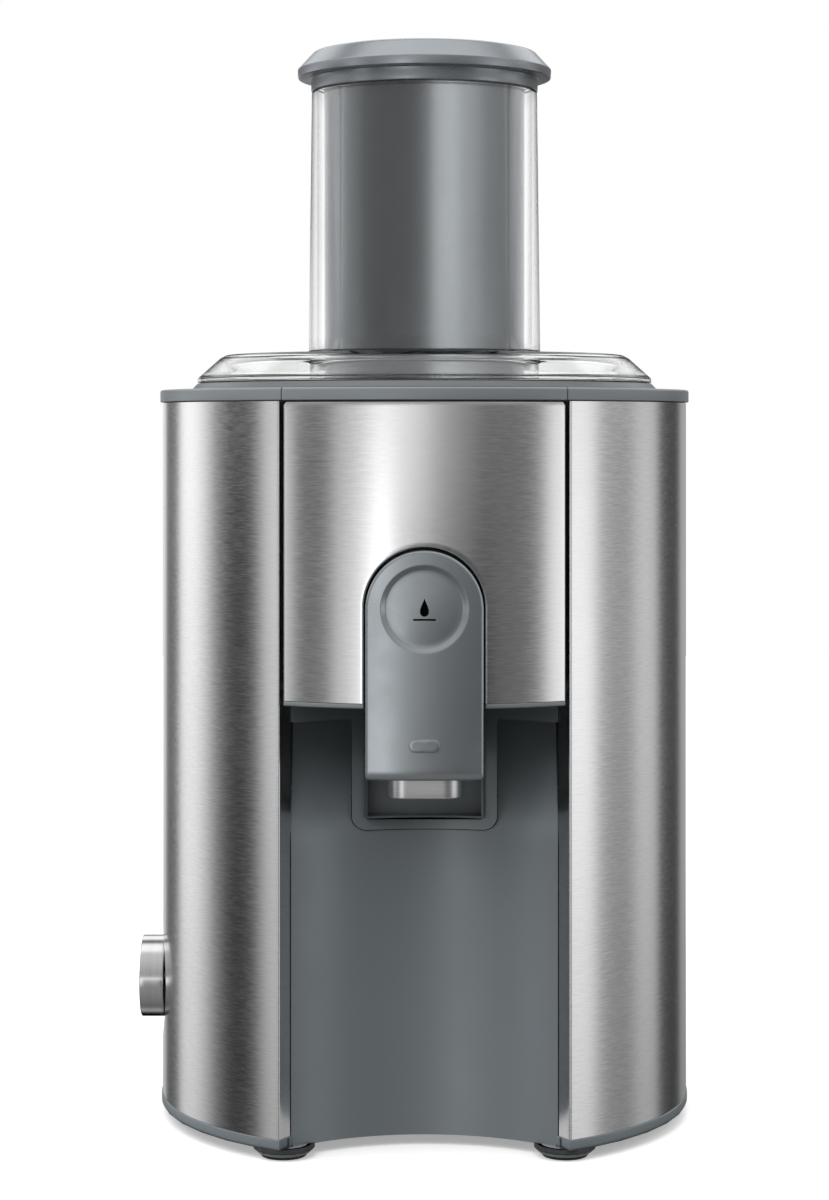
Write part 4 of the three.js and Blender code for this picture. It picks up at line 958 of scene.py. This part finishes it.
def front_sheet(half, side, steps, roll=0.6, flange=1.6):
    """Rows from the notch outward: flange and roll at the notch, plain sheet, roll and flange. The
    sheet lies on the casing: its angle is asin(x / R), and out moves it along the radius."""
    notch = both_sides([[(-half, FRONT_FOOT), (-half, ARCH_Z)]], arch(half, ARCH_Z), [24], 100)
    top = [(-side, ARCH_Z), (-side, FRONT_TOP), (side, FRONT_TOP), (side, ARCH_Z)]
    edge = both_sides([[(-side, FRONT_FOOT), (-side, ARCH_Z)]], top, [24], 100)
    hem = rounded([(0, -flange), (0, 0, roll), (9, 0)], closed=False, steps=6)[:-1]
    flat, out = hemmed(notch, edge, hem, hem, steps)
    angle = np.arcsin(np.clip(flat[..., 0] / CASING_R, -1, 1))
    radius = CASING_R + out
    return np.stack([radius * np.sin(angle), -radius * np.cos(angle), flat[..., 1]], -1)


front_skin = shell("front_skin", front_sheet(NOTCH_HALF, FRONT_HALF, 40))
fit(thicken(front_skin, 0.5, 0.1), "bowl", "skin_steel", "front_panel")

# %% [markdown]
# Behind the steel is the moulded carrier. Only its head, level with the rims, and the border under the
# steel are seen, so these are made, and a wall joins them behind the sheet. The head has the rims'
# section, because the two look like one band.

# %% Carrier of the front panel
head_s = np.linspace(-CARRIER_S + 0.1, CARRIER_S - 0.1, 70)
fit(band("carrier_head", head_s, rim_profile), "bowl", "rim_plastic", "front_panel_carrier")
BORDER_FOOT = span("front_panel_carrier")[0][2]
CARRIER_GAP = 1.6  # from the steel's outside to the wall behind it
border_profile = rim_section(0.1, -9.5, BORDER_FOOT, FRONT_FOOT - 0.15, 0.25, 0.6)
notch_s = CASING_R * math.asin(NOTCH_HALF / CASING_R)
for label, side in SIDES:
    border_s = side * np.linspace(notch_s + 0.1, CARRIER_S - 0.3, 40)
    fit(band(f"carrier_border_{label}", border_s, border_profile), "bowl", "rim_plastic")


def carrier_wall():
    """The same horseshoe, a little smaller and behind the steel, with hardly a hem."""
    points = front_sheet(NOTCH_HALF + 0.2, FRONT_HALF - 1.5, 20, roll=0.3, flange=0.2)
    scale = (CASING_R - CARRIER_GAP) / np.hypot(points[..., 0], points[..., 1])
    points[..., :2] *= scale[..., None]
    points[..., 2] = np.clip(points[..., 2], BORDER_FOOT + 0.6, None)
    return points


fit(thicken(shell("carrier_wall", carrier_wall()), 2.0), "bowl", "dark_plastic")

# %% [markdown]
# ## Jug bay
# The bay's wall is a shallow arc in plan. The spout's bezel and the lip above the wall are one moulding
# that stands 0.7 mm proud, with a fine dark joint round it. Both are horseshoes again, with rounded
# edges like the front skin's: the bezel from the pocket's opening outward, the wall from the joint
# outward. As one piece they would be simpler, but the joint would be missing.

# %% Bay wall and bezel
BAY_R, BAY_CENTRE = 68.0, -128.1
PROUD = 0.7  # how far the bezel stands out of the bay's circle
pocket = {"half": 21.3, "floor": 119.1, "back": -50.0, "front": -66.0}
bezel = {"half": 25.9, "foot": 115.3}
JOINT = 0.8  # between the bezel and the wall
RECESS, LEAN_HEIGHT = 13.0, 42.0  # how far the wall leans back under the lip, and over what height
BAY_HALF = 47.2
LIP_Z = 155.6
BAY_TOP = 161.0


def on_bay(flat, out):
    """A point (x, z) of the bay's wall, moved forward by out: y is on a circle about the bay's centre."""
    x, z = flat[..., 0], flat[..., 1]
    depth = np.sqrt(BAY_R ** 2 - np.clip(np.abs(x), 0, BAY_R - 1) ** 2)
    return np.stack([x, BAY_CENTRE + depth - out, z], -1)


def u_turn(half, foot, corner, up, steps):
    """The lower end of a horseshoe: down, round two corners and up again, level at the foot."""
    return rounded([(-half, foot + up), (-half, foot, corner), (half, foot, corner), (half, foot + up)],
                   False, steps)


def bezel_points():
    """From deep in the pocket forward to its lip, over the face, and round the outer edge."""
    counts, count = [16, 60], 80
    half, floor_z = pocket["half"], pocket["floor"]
    knee = LIP_Z - 1
    inner = both_sides([[(-half, BAY_TOP), (-half, knee)], [(-half, knee), (-half, floor_z + 1)]],
                       u_turn(half, floor_z, 0.9, 1, 4), counts, count)
    wide, foot = bezel["half"], bezel["foot"]
    lip = rounded([(-BAY_HALF, BAY_TOP), (-BAY_HALF, LIP_Z), (-wide, LIP_Z, 0.8), (-wide, knee)], False, 4)
    outer = both_sides([lip, [(-wide, knee), (-wide, foot + 6)]], u_turn(wide, foot, 5, 6, 10), counts, count)
    edge_in = rounded([(0, PROUD - 3), (0, PROUD, 0.7), (2, PROUD)], False, 4)[:-1]
    edge_out = rounded([(0, -RECESS - 1), (0, PROUD, 0.3), (2, PROUD)], False, 4)[:-1]
    face = on_bay(*hemmed(inner, outer, edge_in, edge_out, 16))
    walls = [np.insert(inner, 1, y, axis=1) for y in np.linspace(pocket["back"], pocket["front"], 5)]
    return np.vstack([walls, face])


bezel_piece = shell("spout_bezel_moulding", bezel_points(), lids=("first",), heart=(0, 0, 130))
fit(bezel_piece, "base", "bay_plastic", "spout_bezel")


def bay_wall_points():
    """From the joint round the bezel outward to the skins' returns and down to the base. The wall
    leans back under the lip by a smooth step of its height."""
    counts, count = [50], 70
    wide, foot, top = bezel["half"] + JOINT, bezel["foot"] - JOINT, BAY_TOP - 1
    inner = both_sides([[(-wide, top), (-wide, foot + 6)]], u_turn(wide, foot, 5.8, 6, 10), counts, count)
    knee = (-BAY_HALF, foot + 6)
    below = [knee, (-BAY_HALF, BASE_FOOT), (BAY_HALF, BASE_FOOT), (BAY_HALF, foot + 6)]
    outer = both_sides([[(-BAY_HALF, top), knee]], below, counts, count)
    edge_in = rounded([(0, -4.0), (0, 0, 0.15), (2, 0)], False, 3)[:-1]
    edge_out = rounded([(0, -1.6), (0, 0, 0.3), (2, 0)], False, 3)[:-1]
    flat, out = hemmed(inner, outer, edge_in, edge_out, 70)
    return on_bay(flat, out - RECESS * smooth((flat[..., 1] - foot + 2) / LEAN_HEIGHT))


fit(shell("bay_wall", bay_wall_points(), heart=(0, 0, 100)), "base", "bay_plastic", "niche_wall")

# %% [markdown]
# ## Spout
# The lever is an arch-topped shell with a round thumb dish. On a square grid the dish's edge would be
# jagged, so the grid has rings: the outline behind, up the side, over the rounded edge, then across the
# face to the dish's circle, down its cone, and over the dish's floor to the middle.

# %% Lever
PILL_RISE = 0.55
LEVER_FACE = -lever_low[1] - PILL_RISE
LEVER_EDGE_Z = 137.6  # the lower edge of the lever's face
DISH_EDGE, DISH_CONE, DISH_FLOOR = 15.3, 1.7, 1.25  # the thumb dish: radius, width of its cone, depth
DISH_SWELL = 0.25  # how much its floor rises to the middle
LEVER_WALL, LEVER_ROUND = 7.6, 0.9  # how deep its side goes back, and the roundness of its edge


def lever_outline():
    """The arch, its legs, and a foot with rounded corners, closed. The arch is a little lower than the
    notch's, which leaves room for the tilt."""
    foot = rounded([(LEVER_HALF, ARCH_Z), (LEVER_HALF, LEVER_EDGE_Z, 1.3), (-LEVER_HALF, LEVER_EDGE_Z, 1.3),
                    (-LEVER_HALF, ARCH_Z)], False, 8)
    return evenly(np.vstack([arch(LEVER_HALF, ARCH_Z - 0.3), foot[1:-1]]), 420, closed=True)


def lever_face_y(x, out):
    """The lever's face lies on a circle about the motor axis, y = -sqrt(F^2 - x^2) - out."""
    return -np.sqrt(LEVER_FACE ** 2 - x ** 2) - out


def lever_points():
    """Rings of (x, z, out), from behind over the edge and the face to the dish's middle."""
    outline = lever_outline()
    inward = -across(outline, closed=True)
    if inward[0] @ (np.array([0, ARCH_Z]) - outline[0]) < 0:
        inward = -inward
    turn = np.arctan2(outline[:, 0], outline[:, 1] - ARCH_Z)

    def circle(radius):
        return np.stack([radius * np.sin(turn), ARCH_Z + radius * np.cos(turn)], -1)

    hem = rounded([(0, -LEVER_WALL), (0, 0, LEVER_ROUND), (4, 0)], False, 8)[:-1]
    rings = [(outline + inward * e, o) for e, o in hem]
    a, b = rings[-1][0], circle(DISH_EDGE + 0.5)
    rings += [(a + (b - a) * t, 0) for t in np.linspace(0, 1, 34)[1:-1]]
    floor_r = DISH_EDGE - 3
    cone = [(DISH_EDGE + 0.5, 0), (DISH_EDGE, 0, 0.5), (DISH_EDGE - DISH_CONE, -DISH_FLOOR, 0.5),
            (floor_r, -DISH_FLOOR)]
    rings += [(circle(r), o) for r, o in rounded(cone, False, 4)]
    rings += [(circle(floor_r * (1 - t)), -DISH_FLOOR + DISH_SWELL * (1 - (1 - t) ** 2))
              for t in np.linspace(0, 1, 14)[1:]]
    flat, out = stacked(rings)
    x, z = flat[..., 0], flat[..., 1]
    below = np.clip((LEVER_EDGE_Z + 3 - z) / 3, 0, 1)
    return np.stack([x, lever_face_y(x, out) + 0.8 * below ** 2, z], -1)


BADGE = {"close_columns": True, "lids": ("first",), "heart": (0, -90, 180)}
lever = shell("lever_shell", lever_points(), **BADGE)
lever.modifiers.new("normals", "WEIGHTED_NORMAL").keep_sharp = True
fit(lever, "spout", "lever_plastic", "spout_lever")

# %% [markdown]
# A raised pill marks the lever's foot, and the dish carries a plain drop over a line, the usual sign
# for the drip stop. They could be a pattern in the lever's finish, but thin pieces that follow the
# lever's curve stay sharp from close by, and the pill's edge catches the light.

# %% Pill, drop sign and line
def badge(name, outline, centre, rise, sunk, finish, rim=0.5):
    """A thin piece with rounded edges: rings from the sunk foot over the edge to the middle."""
    middle = np.array(centre, float)
    arm = outline - middle
    hem = rounded([(0, -0.6), (0, rise, min(rim, rise * 0.9)), (rim * 2, rise)], False, 5)
    rings = [(middle + arm * (1 - e / np.hypot(*arm.T)[:, None]), o) for e, o in hem]
    for t in (0.5, 1.0):
        rings.append((rings[-1][0] + (middle - rings[-1][0]) * t, rise))
    flat, out = stacked(rings)
    x, z = flat[..., 0], flat[..., 1]
    return fit(shell(name, np.stack([x, lever_face_y(x, out + sunk), z], -1), **BADGE), "spout", finish)


def stadium(half, radius, centre, count=64):
    """A bar with round ends, closed."""
    a = np.linspace(0, np.pi, 24)
    right = np.stack([half - radius + radius * np.sin(a), radius * np.cos(a)], -1)
    return evenly(np.vstack([right, -right]) + centre, count, closed=True)


def drop(centre, wide, tall):
    """A drop: x = 0.62 wide sin t sin(t / 2)^1.7, z = tall cos t / 2, with its point upward."""
    t = np.linspace(0, 2 * np.pi, 64, endpoint=False)
    x = wide * 0.62 * np.sin(t) * np.abs(np.sin(t / 2)) ** 1.7
    return np.stack([x, tall / 2 * np.cos(t)], -1) + centre


SIGN_RISE, floor_out = 0.05, -DISH_FLOOR + 0.24
badge("lever_pill", stadium(5.45, 2.3, (0, 149.9)), (0, 149.9), PILL_RISE, 0.0, "lever_plastic", 0.7)
badge("drop_mark", drop((0, 197.9), 3.7, 6.4), (0, 196.9), SIGN_RISE, floor_out, "sign_paint", SIGN_RISE)
badge("line_mark", stadium(4.0, 0.32, (0, 193.6)), (0, 193.6), SIGN_RISE, floor_out, "sign_paint", SIGN_RISE)

# %% [markdown]
# The spout's tip is a flattened steel tube. A round tube pressed flat by scaling would have a wall that
# is thin on two sides. So the section of its wall, with a rounded lower lip, is carried round a stadium
# in plan.

# %% Spout tip and the channel above it
low, high = span("spout_tip")
tip = stadium(high[0], (high[1] - low[1]) / 2, (0, (high[1] + low[1]) / 2), count=160)
TIP_FOOT, TIP_TOP = low[2], high[2]
channel = stadium(17.0, 8.0, (0, -82.0), count=120)
CHANNEL_FOOT, CHANNEL_TOP = 140.5, 159.6


def tube(name, path, corners, finish, *stands_for):
    """A wall carried round a closed plan path: its section is a list of corners of (out, z)."""
    normal = -across(path, True)
    outward = 1 if normal[0] @ (path[0] - path.mean(0)) > 0 else -1
    out, z = filled(rounded(corners) * [outward, 1], 3.0).T
    points = raised(path[:, None, :] + normal[:, None, :] * out[None, :, None], z)
    return fit(shell(name, points, **RING), "spout", finish, *stands_for)


tube("tip_tube", tip, [(0, TIP_FOOT, 0.5), (0, TIP_TOP), (-1.2, TIP_TOP), (-1.2, TIP_FOOT, 0.5)],
     "tip_steel", "spout_tip")
tube("lever_channel", channel, [(0, CHANNEL_FOOT, 1.5), (0, CHANNEL_TOP, 1.5), (-2.4, CHANNEL_TOP, 0.5),
                                (-2.4, CHANNEL_FOOT, 0.5)], "dark_plastic")

# %% [markdown]
# ## Pusher
# The pusher is a cup, closed below, under a broad cap. Both are round, so each is a profile turned about
# the axis, and one short list of corners gives all its rims and grooves.

# %% Pusher and cap
pusher_low, pusher_high = span("pusher_cylinder")
cap_high = span("pusher_cap")[1]
PUSHER_R = pusher_high[0]
FOOT_Z, BRIM_Z = pusher_low[2], pusher_high[2]
COLLAR_Z, CAP_TOP, CAP_R = 389.0, cap_high[2], cap_high[0]
wall = PUSHER_R - 2.2
cup = lathe([
    (0, FOOT_Z), (PUSHER_R, FOOT_Z, 3.0), (PUSHER_R, BRIM_Z, 0.3),
    (wall, BRIM_Z, 0.2), (wall, FOOT_Z + 2.4, 1.5), (0, FOOT_Z + 2.4),
], 6.0)
fit(shell("pusher_cup", cup, **TURNED), "pusher", "pusher_plastic", "pusher_cylinder")

cap = lathe([
    (0, CAP_TOP - 2.6), (38.0, CAP_TOP - 2.6, 1.0), (wall - 0.6, 391, 1.0), (wall - 0.6, COLLAR_Z - 5, 0.4),
    (PUSHER_R - 0.1, COLLAR_Z - 5, 0.1), (PUSHER_R - 0.1, COLLAR_Z, 0.2), (43.4, COLLAR_Z, 0.5),
    (43.5, 394.0, 0.3), (48.4, 394.1, 0.45), (CAP_R, 397.4, 0.5), (42.5, 404.0, 2.5), (39.0, CAP_TOP, 2.0),
    (0, CAP_TOP),
], 1.5, sides=192, steps=5)
fit(shell("cap_moulding", cap, **TURNED), "pusher", "cap_plastic", "pusher_cap")

# %% [markdown]
# ## Lid
# The lid and its chute are one clear moulding. Two pieces pushed into each other would show their hidden
# faces through the plastic, so they are one closed surface: out along the foot, up the sloping wall,
# over the top to the chute, up the chute, and back inside. Each station is a ring.
# A ring on the lid is a racetrack, round in front and elliptical behind. A ring on the chute is a
# circle, and on the top the rings change from one to the other.

# %% Lid and chute
lid_low, lid_high = span("lid_cover")
LID_R = lid_high[0]
LID_FOOT = 277.5
LID_TOP = 288.0
LID_DEPTH = lid_high[1] - REAR_Y
LID_UNDER = LID_TOP - 2.6
CHUTE_BORE = 41.3
CHUTE_FOOT, CHUTE_TOP = lid_low[2], lid_high[2]


def lid_ring(inset):
    """The lid's plan, made smaller all round by inset: half a circle in front about the axis, straight
    sides back to REAR_Y, and half an ellipse behind. Closed, from the left end of the front arc."""
    half, depth = LID_R - inset, LID_DEPTH - inset
    a, b, up, down = (np.linspace(first, last, count, endpoint=False) for first, last, count in (
        (-np.pi / 2, np.pi / 2, 120), (np.pi / 2, 3 * np.pi / 2, 100), (0, REAR_Y, 36), (REAR_Y, 0, 36)))
    front = np.stack([half * np.sin(a), -half * np.cos(a)], -1)
    right = np.stack([np.full(len(up), half), up], -1)
    rear = np.stack([half * np.sin(b), REAR_Y - depth * np.cos(b)], -1)
    left = np.stack([np.full(len(down), -half), down], -1)
    return np.vstack([front, right, rear, left])


def chute_ring(radius):
    """A circle whose points lie in the same directions as the lid ring's."""
    plan = lid_ring(10.0)
    return plan / np.hypot(*plan.T)[:, None] * radius


def between_rings(first, last, z):
    """Level rings from the first plan to the last, which is included."""
    return [(first + (last - first) * t, z) for t in np.linspace(0, 1, 16)[1:]]


def lid_points():
    """Every station of the lid's surface in turn."""
    outside = [(1.4, LID_FOOT), (0, LID_FOOT, 0.3), (0.2, 279.3, 0.5), (8.6, 286.8, 1.6),
               (10.8, LID_TOP, 1.2), (14, LID_TOP)]
    chute = [(50.0, LID_TOP), (44.4, LID_TOP, 2.0), (43.2, CHUTE_TOP, 0.6), (CHUTE_BORE, CHUTE_TOP, 0.6),
             (CHUTE_BORE, CHUTE_FOOT, 0.6), (44.0, CHUTE_FOOT, 0.6), (44.0, LID_UNDER, 1.0),
             (50.0, LID_UNDER)]
    inside = [(15.0, LID_UNDER), (12.0, LID_UNDER, 1.0), (10.0, 284.8, 1.4), (2.9, 278.6, 0.6),
              (2.8, LID_FOOT), (1.4, LID_FOOT)]
    rings = [(lid_ring(i), z) for i, z in open_profile(outside, 1.5, 5)]
    rings += between_rings(lid_ring(14.0), chute_ring(50.0), LID_TOP)
    rings += [(chute_ring(r), z) for r, z in open_profile(chute, 5.0, 8)]
    rings += between_rings(chute_ring(50.0), lid_ring(15.0), LID_UNDER)
    rings += [(lid_ring(i), z) for i, z in open_profile(inside, 1.5, 5)[1:-1]]
    return ringed(rings)


fit(shell("lid_and_chute", lid_points(), **RING), "lid", "clear_plastic", "lid_cover")

# %% [markdown]
# ## Bowl
# Under the lid's foot a conical flange runs round the bowl and goes on round the pulp container. It is
# seen from the front as a thin grey slope above the rim. It takes its plan from the lid's rings, so the
# gap between them is even. The bowl itself is a turned profile with a window at the back where the pulp
# leaves.

# %% Bowl flange and bowl
BOWL_R, BOWL_FLOOR, BOWL_TOP = 87.5, 168.0, span("juice_bowl")[1][2] - 1.2
FLANGE_END = 46.0


def flange_points(keep_front):
    """The conical ring under the lid: (inset, z) round the lid's plan, in front or behind."""
    foot = RIM_TOP + 0.1
    section = rounded([(-2.3, foot, 0.2), (0.0, BOWL_TOP, 0.5), (2.2, BOWL_TOP, 0.4), (2.2, foot, 0.2)])
    points = np.swapaxes(ringed([(lid_ring(i), z) for i, z in filled(section, 1.5)]), 0, 1)
    behind = np.where(points[:, 0, 1] > FLANGE_END)[0]
    if keep_front:
        return np.roll(points, -behind[-1] - 1, axis=0)[:-len(behind)]
    return points[behind]


fit(shell("bowl_flange", flange_points(True), **CAPPED), "bowl", "bowl_plastic", "juice_bowl")

BOSS_TOP, BOWL_BRIM, BOWL_WALL = 184, RIM_TOP + 1, 2.4
BOWL_IN, BOWL_UNDER = BOWL_R - BOWL_WALL, BOWL_FLOOR - BOWL_WALL
bowl_corners = [
    (BOWL_IN, BOWL_BRIM), (BOWL_IN, BOWL_FLOOR, 5.0), (17.4, BOWL_FLOOR, 2.0), (17.4, BOSS_TOP, 0.6),
    (15.0, BOSS_TOP, 0.6), (15.0, BOWL_UNDER, 1.0), (BOWL_R, BOWL_UNDER, 6.0), (BOWL_R, BOWL_BRIM),
]
DUCT_HALF = math.radians(36.6)
DUCT_FLOOR = 262.0


def bowl_grid():
    """The turned bowl, and which of its cells stay: those of the pulp window are left out."""
    profile = open_profile(bowl_corners, 4.0)
    above = np.where(np.diff(np.sign(profile[:, 1] - DUCT_FLOOR)) != 0)[0]
    for k in above[::-1]:
        profile = np.insert(profile, k + 1, (profile[k, 0], DUCT_FLOOR), axis=0)
    middle_z = (profile[:, 1] + np.roll(profile[:, 1], -1)) / 2
    middle_angle = (np.arange(144) + 0.5) * 2 * np.pi / 144
    behind = np.abs(middle_angle - np.pi) < DUCT_HALF
    window = (middle_z > DUCT_FLOOR)[:, None] & behind[None, :]
    return turned(profile, 144), ~window


points, keep = bowl_grid()
fit(shell("bowl_body", points, **RING, keep=keep, heart=(0, 0, 220)), "bowl", "grey_plastic")

# %% [markdown]
# ## Pulp container
# The container stands behind the casing. Its plan is a crescent: an arc round the casing in front, and
# straight sides and half an ellipse behind. A box cut by a cylinder would have a wall that changes in
# thickness. Here each ring is the same plan made smaller, from the foot up the outside, over the brim
# and down the inside.

# %% Container and pedestal
CONTAINER_R = 101.3
CONTAINER_TIP, BRIM_TIP, PEDESTAL_TIP = 47.0, 47.6, 46.3  # how far forward each crescent's tips reach


def crescent(inset, front_r, tip_y):
    """The plan behind the casing, made smaller all round by inset, but always as far forward."""
    half, radius = CASING_R - inset, front_r + inset
    a = min(math.acos(tip_y / radius), math.asin((CASING_R - 7.7) / radius))
    arc, turn = np.linspace(a, -a, 60), np.linspace(-np.pi / 2, np.pi / 2, 80)
    front = np.stack([radius * np.sin(arc), radius * np.cos(arc)], -1)
    rear = np.stack([half * np.sin(turn), REAR_Y + (BACK_Y - REAR_Y - inset) * np.cos(turn)], -1)
    left, right = (-half, tip_y), (half, tip_y)
    parts = [front, [front[-1], left], [left, rear[0]], rear, [rear[-1], right], [right, front[0]]]
    return by_parts(parts, [110, 6, 20, 170, 20, 6])[:-1]


def container_points():
    """Rings: outside from the foot up, over the brim, and down the inside to the floor."""
    foot = span("pulp_container")[0][2]
    outside = [(5.0, foot), (4.0, foot, 0), (4.0, foot + 3.0, 0), (0.3, RIM_FOOT - 1, 0)]
    brim = [(0.3, RIM_FOOT, 0), (-0.7, RIM_FOOT, 0.3), (-0.7, RIM_TOP, 0.8), (2.4, RIM_TOP, 0.5)]
    inside = [(2.7, RIM_FOOT), (6.4, foot + 5.0), (8.4, foot + 2.4)]
    stations = ((rounded(outside, False), CONTAINER_TIP), (rounded(brim, False), BRIM_TIP),
                (inside, CONTAINER_TIP))
    return ringed([(crescent(i, CONTAINER_R, tip_y), z) for station, tip_y in stations for i, z in station])


container = shell("container_shell", container_points(), **CAPPED, heart=(0, 120, 150))
fit(container, "pulp_container", "smoked_plastic", "pulp_container")
fit(shell("container_collar", flange_points(False), **CAPPED), "pulp_container", "bowl_plastic")

pedestal_low, pedestal_high = span("pedestal_cover")


def pedestal_points():
    """Rings from the foot up the wall and over a rounded top."""
    foot, top = pedestal_low[2], pedestal_high[2]
    profile = open_profile([(2.4, foot), (0.0, foot, 0.4), (0.0, top, 1.6), (6.0, top)], 5.0)
    return ringed([(crescent(i, CASING_R + 0.3, PEDESTAL_TIP), z) for i, z in profile])


pedestal = shell("pedestal_moulding", pedestal_points(), **CAPPED, heart=(0, 120, 20))
fit(pedestal, "base", "grey_plastic", "pedestal_cover")

# %% [markdown]
# ## Feet, knob, latches
# A foot is a rubber pad in a plastic cup, both turned. The four are alike, so one loop puts them where
# the CAD model has its pads.

# %% Feet
PAD_R, CUP_R, CUP_FOOT = 8.2, 9.9, 1.2
cup = lathe([(0, CUP_FOOT), (CUP_R - 1, CUP_FOOT, 0.4), (CUP_R, 2.0, 0.5), (CUP_R, BASE_FOOT),
             (0, BASE_FOOT)], 3.0, sides=64)
for where in ("front_left", "front_right", "rear_left", "rear_right"):
    low, high = span(f"foot_pad_{where}")
    centre = np.append((low[:2] + high[:2]) / 2, 0)
    top = high[2] - 0.5
    pad = lathe([(0, 0.0), (PAD_R, 0.0, 0.7), (PAD_R, top, 0.2), (0, top)], 3.0, sides=48)
    fit(shell(f"foot_{where}", pad + centre, **TURNED), "base", "rubber", f"foot_pad_{where}")
    # the cups take a lighter copy of the grey plastic, painted light for the shadow under the base
    fit(shell(f"foot_cup_{where}", cup + centre, **TURNED), "base", "cup_plastic_painted_light")

# %% [markdown]
# The knob is a turned steel cap with a shallow, flat-bottomed face. Its axis is level, so its profile is
# turned upright like the others and the finished grid is laid down along X.

# %% Knob
KNOB_R = (knob_high[2] - knob_low[2]) / 2
KNOB_FACE, KNOB_BACK = knob_low[0], -CASING_R + DISH_DEPTH - 0.3
FACE_FLOOR, STEM_END = KNOB_FACE + 0.5, knob_high[0]
knob = lathe([
    (0, FACE_FLOOR), (KNOB_R - 3.2, FACE_FLOOR, 0.4), (KNOB_R - 2.6, KNOB_FACE, 0.3),
    (KNOB_R, KNOB_FACE, 0.45), (KNOB_R, KNOB_BACK, 0.4), (3.0, KNOB_BACK), (3.0, STEM_END), (0, STEM_END),
], 2.0)
knob = np.stack([knob[..., 2], knob[..., 0], KNOB_Z - knob[..., 1]], -1)  # laid down along X
fit(shell("knob_cap", knob, **TURNED, heart=(-103, 0, 50)), "knob", "knob_steel", "switch_knob")


# %% [markdown]
# A latch is a moulded plate in the skin's window, with a finger dish, and a nose behind it. Carving the
# dish with a Boolean would leave its edge sharp. Rings of rounded boxes run over the plate's edge and
# down into the dish, so both edges are soft. The knob's pointer is a thin block like the noses.

# %% Latches
PLATE_FACE = 100.0  # how far out the plates stand
NOSE_X, NOSE_Z = (92.4, 97.4), (262, 265.5)


def slab(name, x, y, z, edge, body, finish):
    """A block with rounded edges."""
    plan = [(x[0], y[0]), (x[1], y[0]), (x[1], y[1]), (x[0], y[1])]
    corners = np.array([[(a, b, c) for a, b in plan] for c in z], float)
    piece = shell(name, corners, **CAPPED, heart=tuple(corners.mean((0, 1))))
    return fit(soften(piece, edge, 4), body, finish)


def latch_points(side, y, z):
    """Rings of (y, z, out): up the plate's side, over its edge, across to the finger dish, into it and
    to the dish's middle. The dish is deepest at its lower end."""
    middle = np.array([sum(y), sum(z)]) / 2
    half = np.array([y[1] - y[0], z[1] - z[0]]) / 2

    def box(grow, radius):
        a, b = half + grow
        corners = [(-a, -b, radius), (a, -b, radius), (a, b, radius), (-a, b, radius)]
        return evenly(rounded(corners), 160, True) + middle

    edge = [(0, 1.2, -3.4), (0, 1.2, -0.6), (-0.2, 1.1, -0.2), (-0.6, 0.9, 0.0), (-2.6, 2.4, 0.0)]
    dish = [(-2.9, 2.2, -0.15), (-3.6, 1.6, -1.2), (-4.0, 1.3, -1.35)]
    rings = [(box(grow, radius), out) for grow, radius, out in edge + dish]
    last, depth = rings[-1]
    rings += [(middle + (last - middle) * t, depth) for t in (0.7, 0.35, 0.0)]
    flat, out = stacked(rings)
    lower = np.clip((middle[1] - flat[..., 1]) / half[1], 0, 1)
    out[len(edge):] -= 0.25 * lower[len(edge):]
    return np.stack([side * (PLATE_FACE + out), flat[..., 0], flat[..., 1]], -1)


for label, side in SIDES:
    low, high = span(f"{label}_latch")
    y = (low[1] + 1.8, high[1] - 1.8)
    plate = shell(f"latch_plate_{label}", latch_points(side, y, (low[2] + 0.4, high[2])), close_columns=True,
                  lids=("first",), heart=(side * 98, sum(y) / 2, (low[2] + high[2]) / 2))
    fit(plate, f"{label}_latch", "rim_plastic", f"{label}_latch")
    x = sorted(side * v for v in NOSE_X)
    slab(f"latch_nose_{label}", x, y, NOSE_Z, 0.5, f"{label}_latch", "grey_plastic")

slab("knob_pointer", (KNOB_FACE + 0.42, KNOB_FACE + 0.6), (-0.5, 0.5), (KNOB_Z + 3.5, KNOB_Z + KNOB_R - 4.0),
     0.03, "knob", "dark_plastic")

# %% [markdown]
# ## What stays as the CAD gives it
# The motor, its brackets, the switches and the small seals have the right shape already, and most of
# them are out of sight. They keep their meshes and get their finish here.

# %% Finishes of the carried-over nodes
CARRIED = {
    "dark_plastic": ["base_tray", "motor_housing", "brush_holder_front", "brush_holder_rear", "rotary_switch",
                     "interlock_switch", "cooling_fan", "drive_coupling", "filter_hub", "interlock_plunger"],
    "machined_steel": ["base_screw_1", "base_screw_2", "base_screw_3", "base_screw_4", "upper_bearing",
                       "lower_bearing", "motor_shaft", "spout_pin"],
    "motor_iron": ["stator_core", "rotor_core"],
    "copper": ["field_coil_left", "field_coil_right", "commutator"],
    "cast_aluminium": ["upper_motor_bracket", "lower_motor_bracket"],
    "rubber": ["motor_damper_1", "motor_damper_2", "motor_damper_3", "shaft_seal", "bowl_seal", "outlet_seal",
               "cord_inlet"],
    "circuit_board": ["control_board"],
    "filter_steel": ["filter_basket"],
    "disc_steel": ["grater_disc"],
}
for finish, nodes in CARRIED.items():
    for name in nodes:
        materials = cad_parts[name].data.materials
        materials.clear()
        materials.append(FINISHES[finish][1])
print(sum(len(n) for n in CARRIED.values()), "nodes carried over")

# %% [markdown]
# Last, the box that the visual model fills is printed.

# %% Size of the visual model
low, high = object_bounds()
print("visual box", [round(v, 4) for v in (*low, *high)])
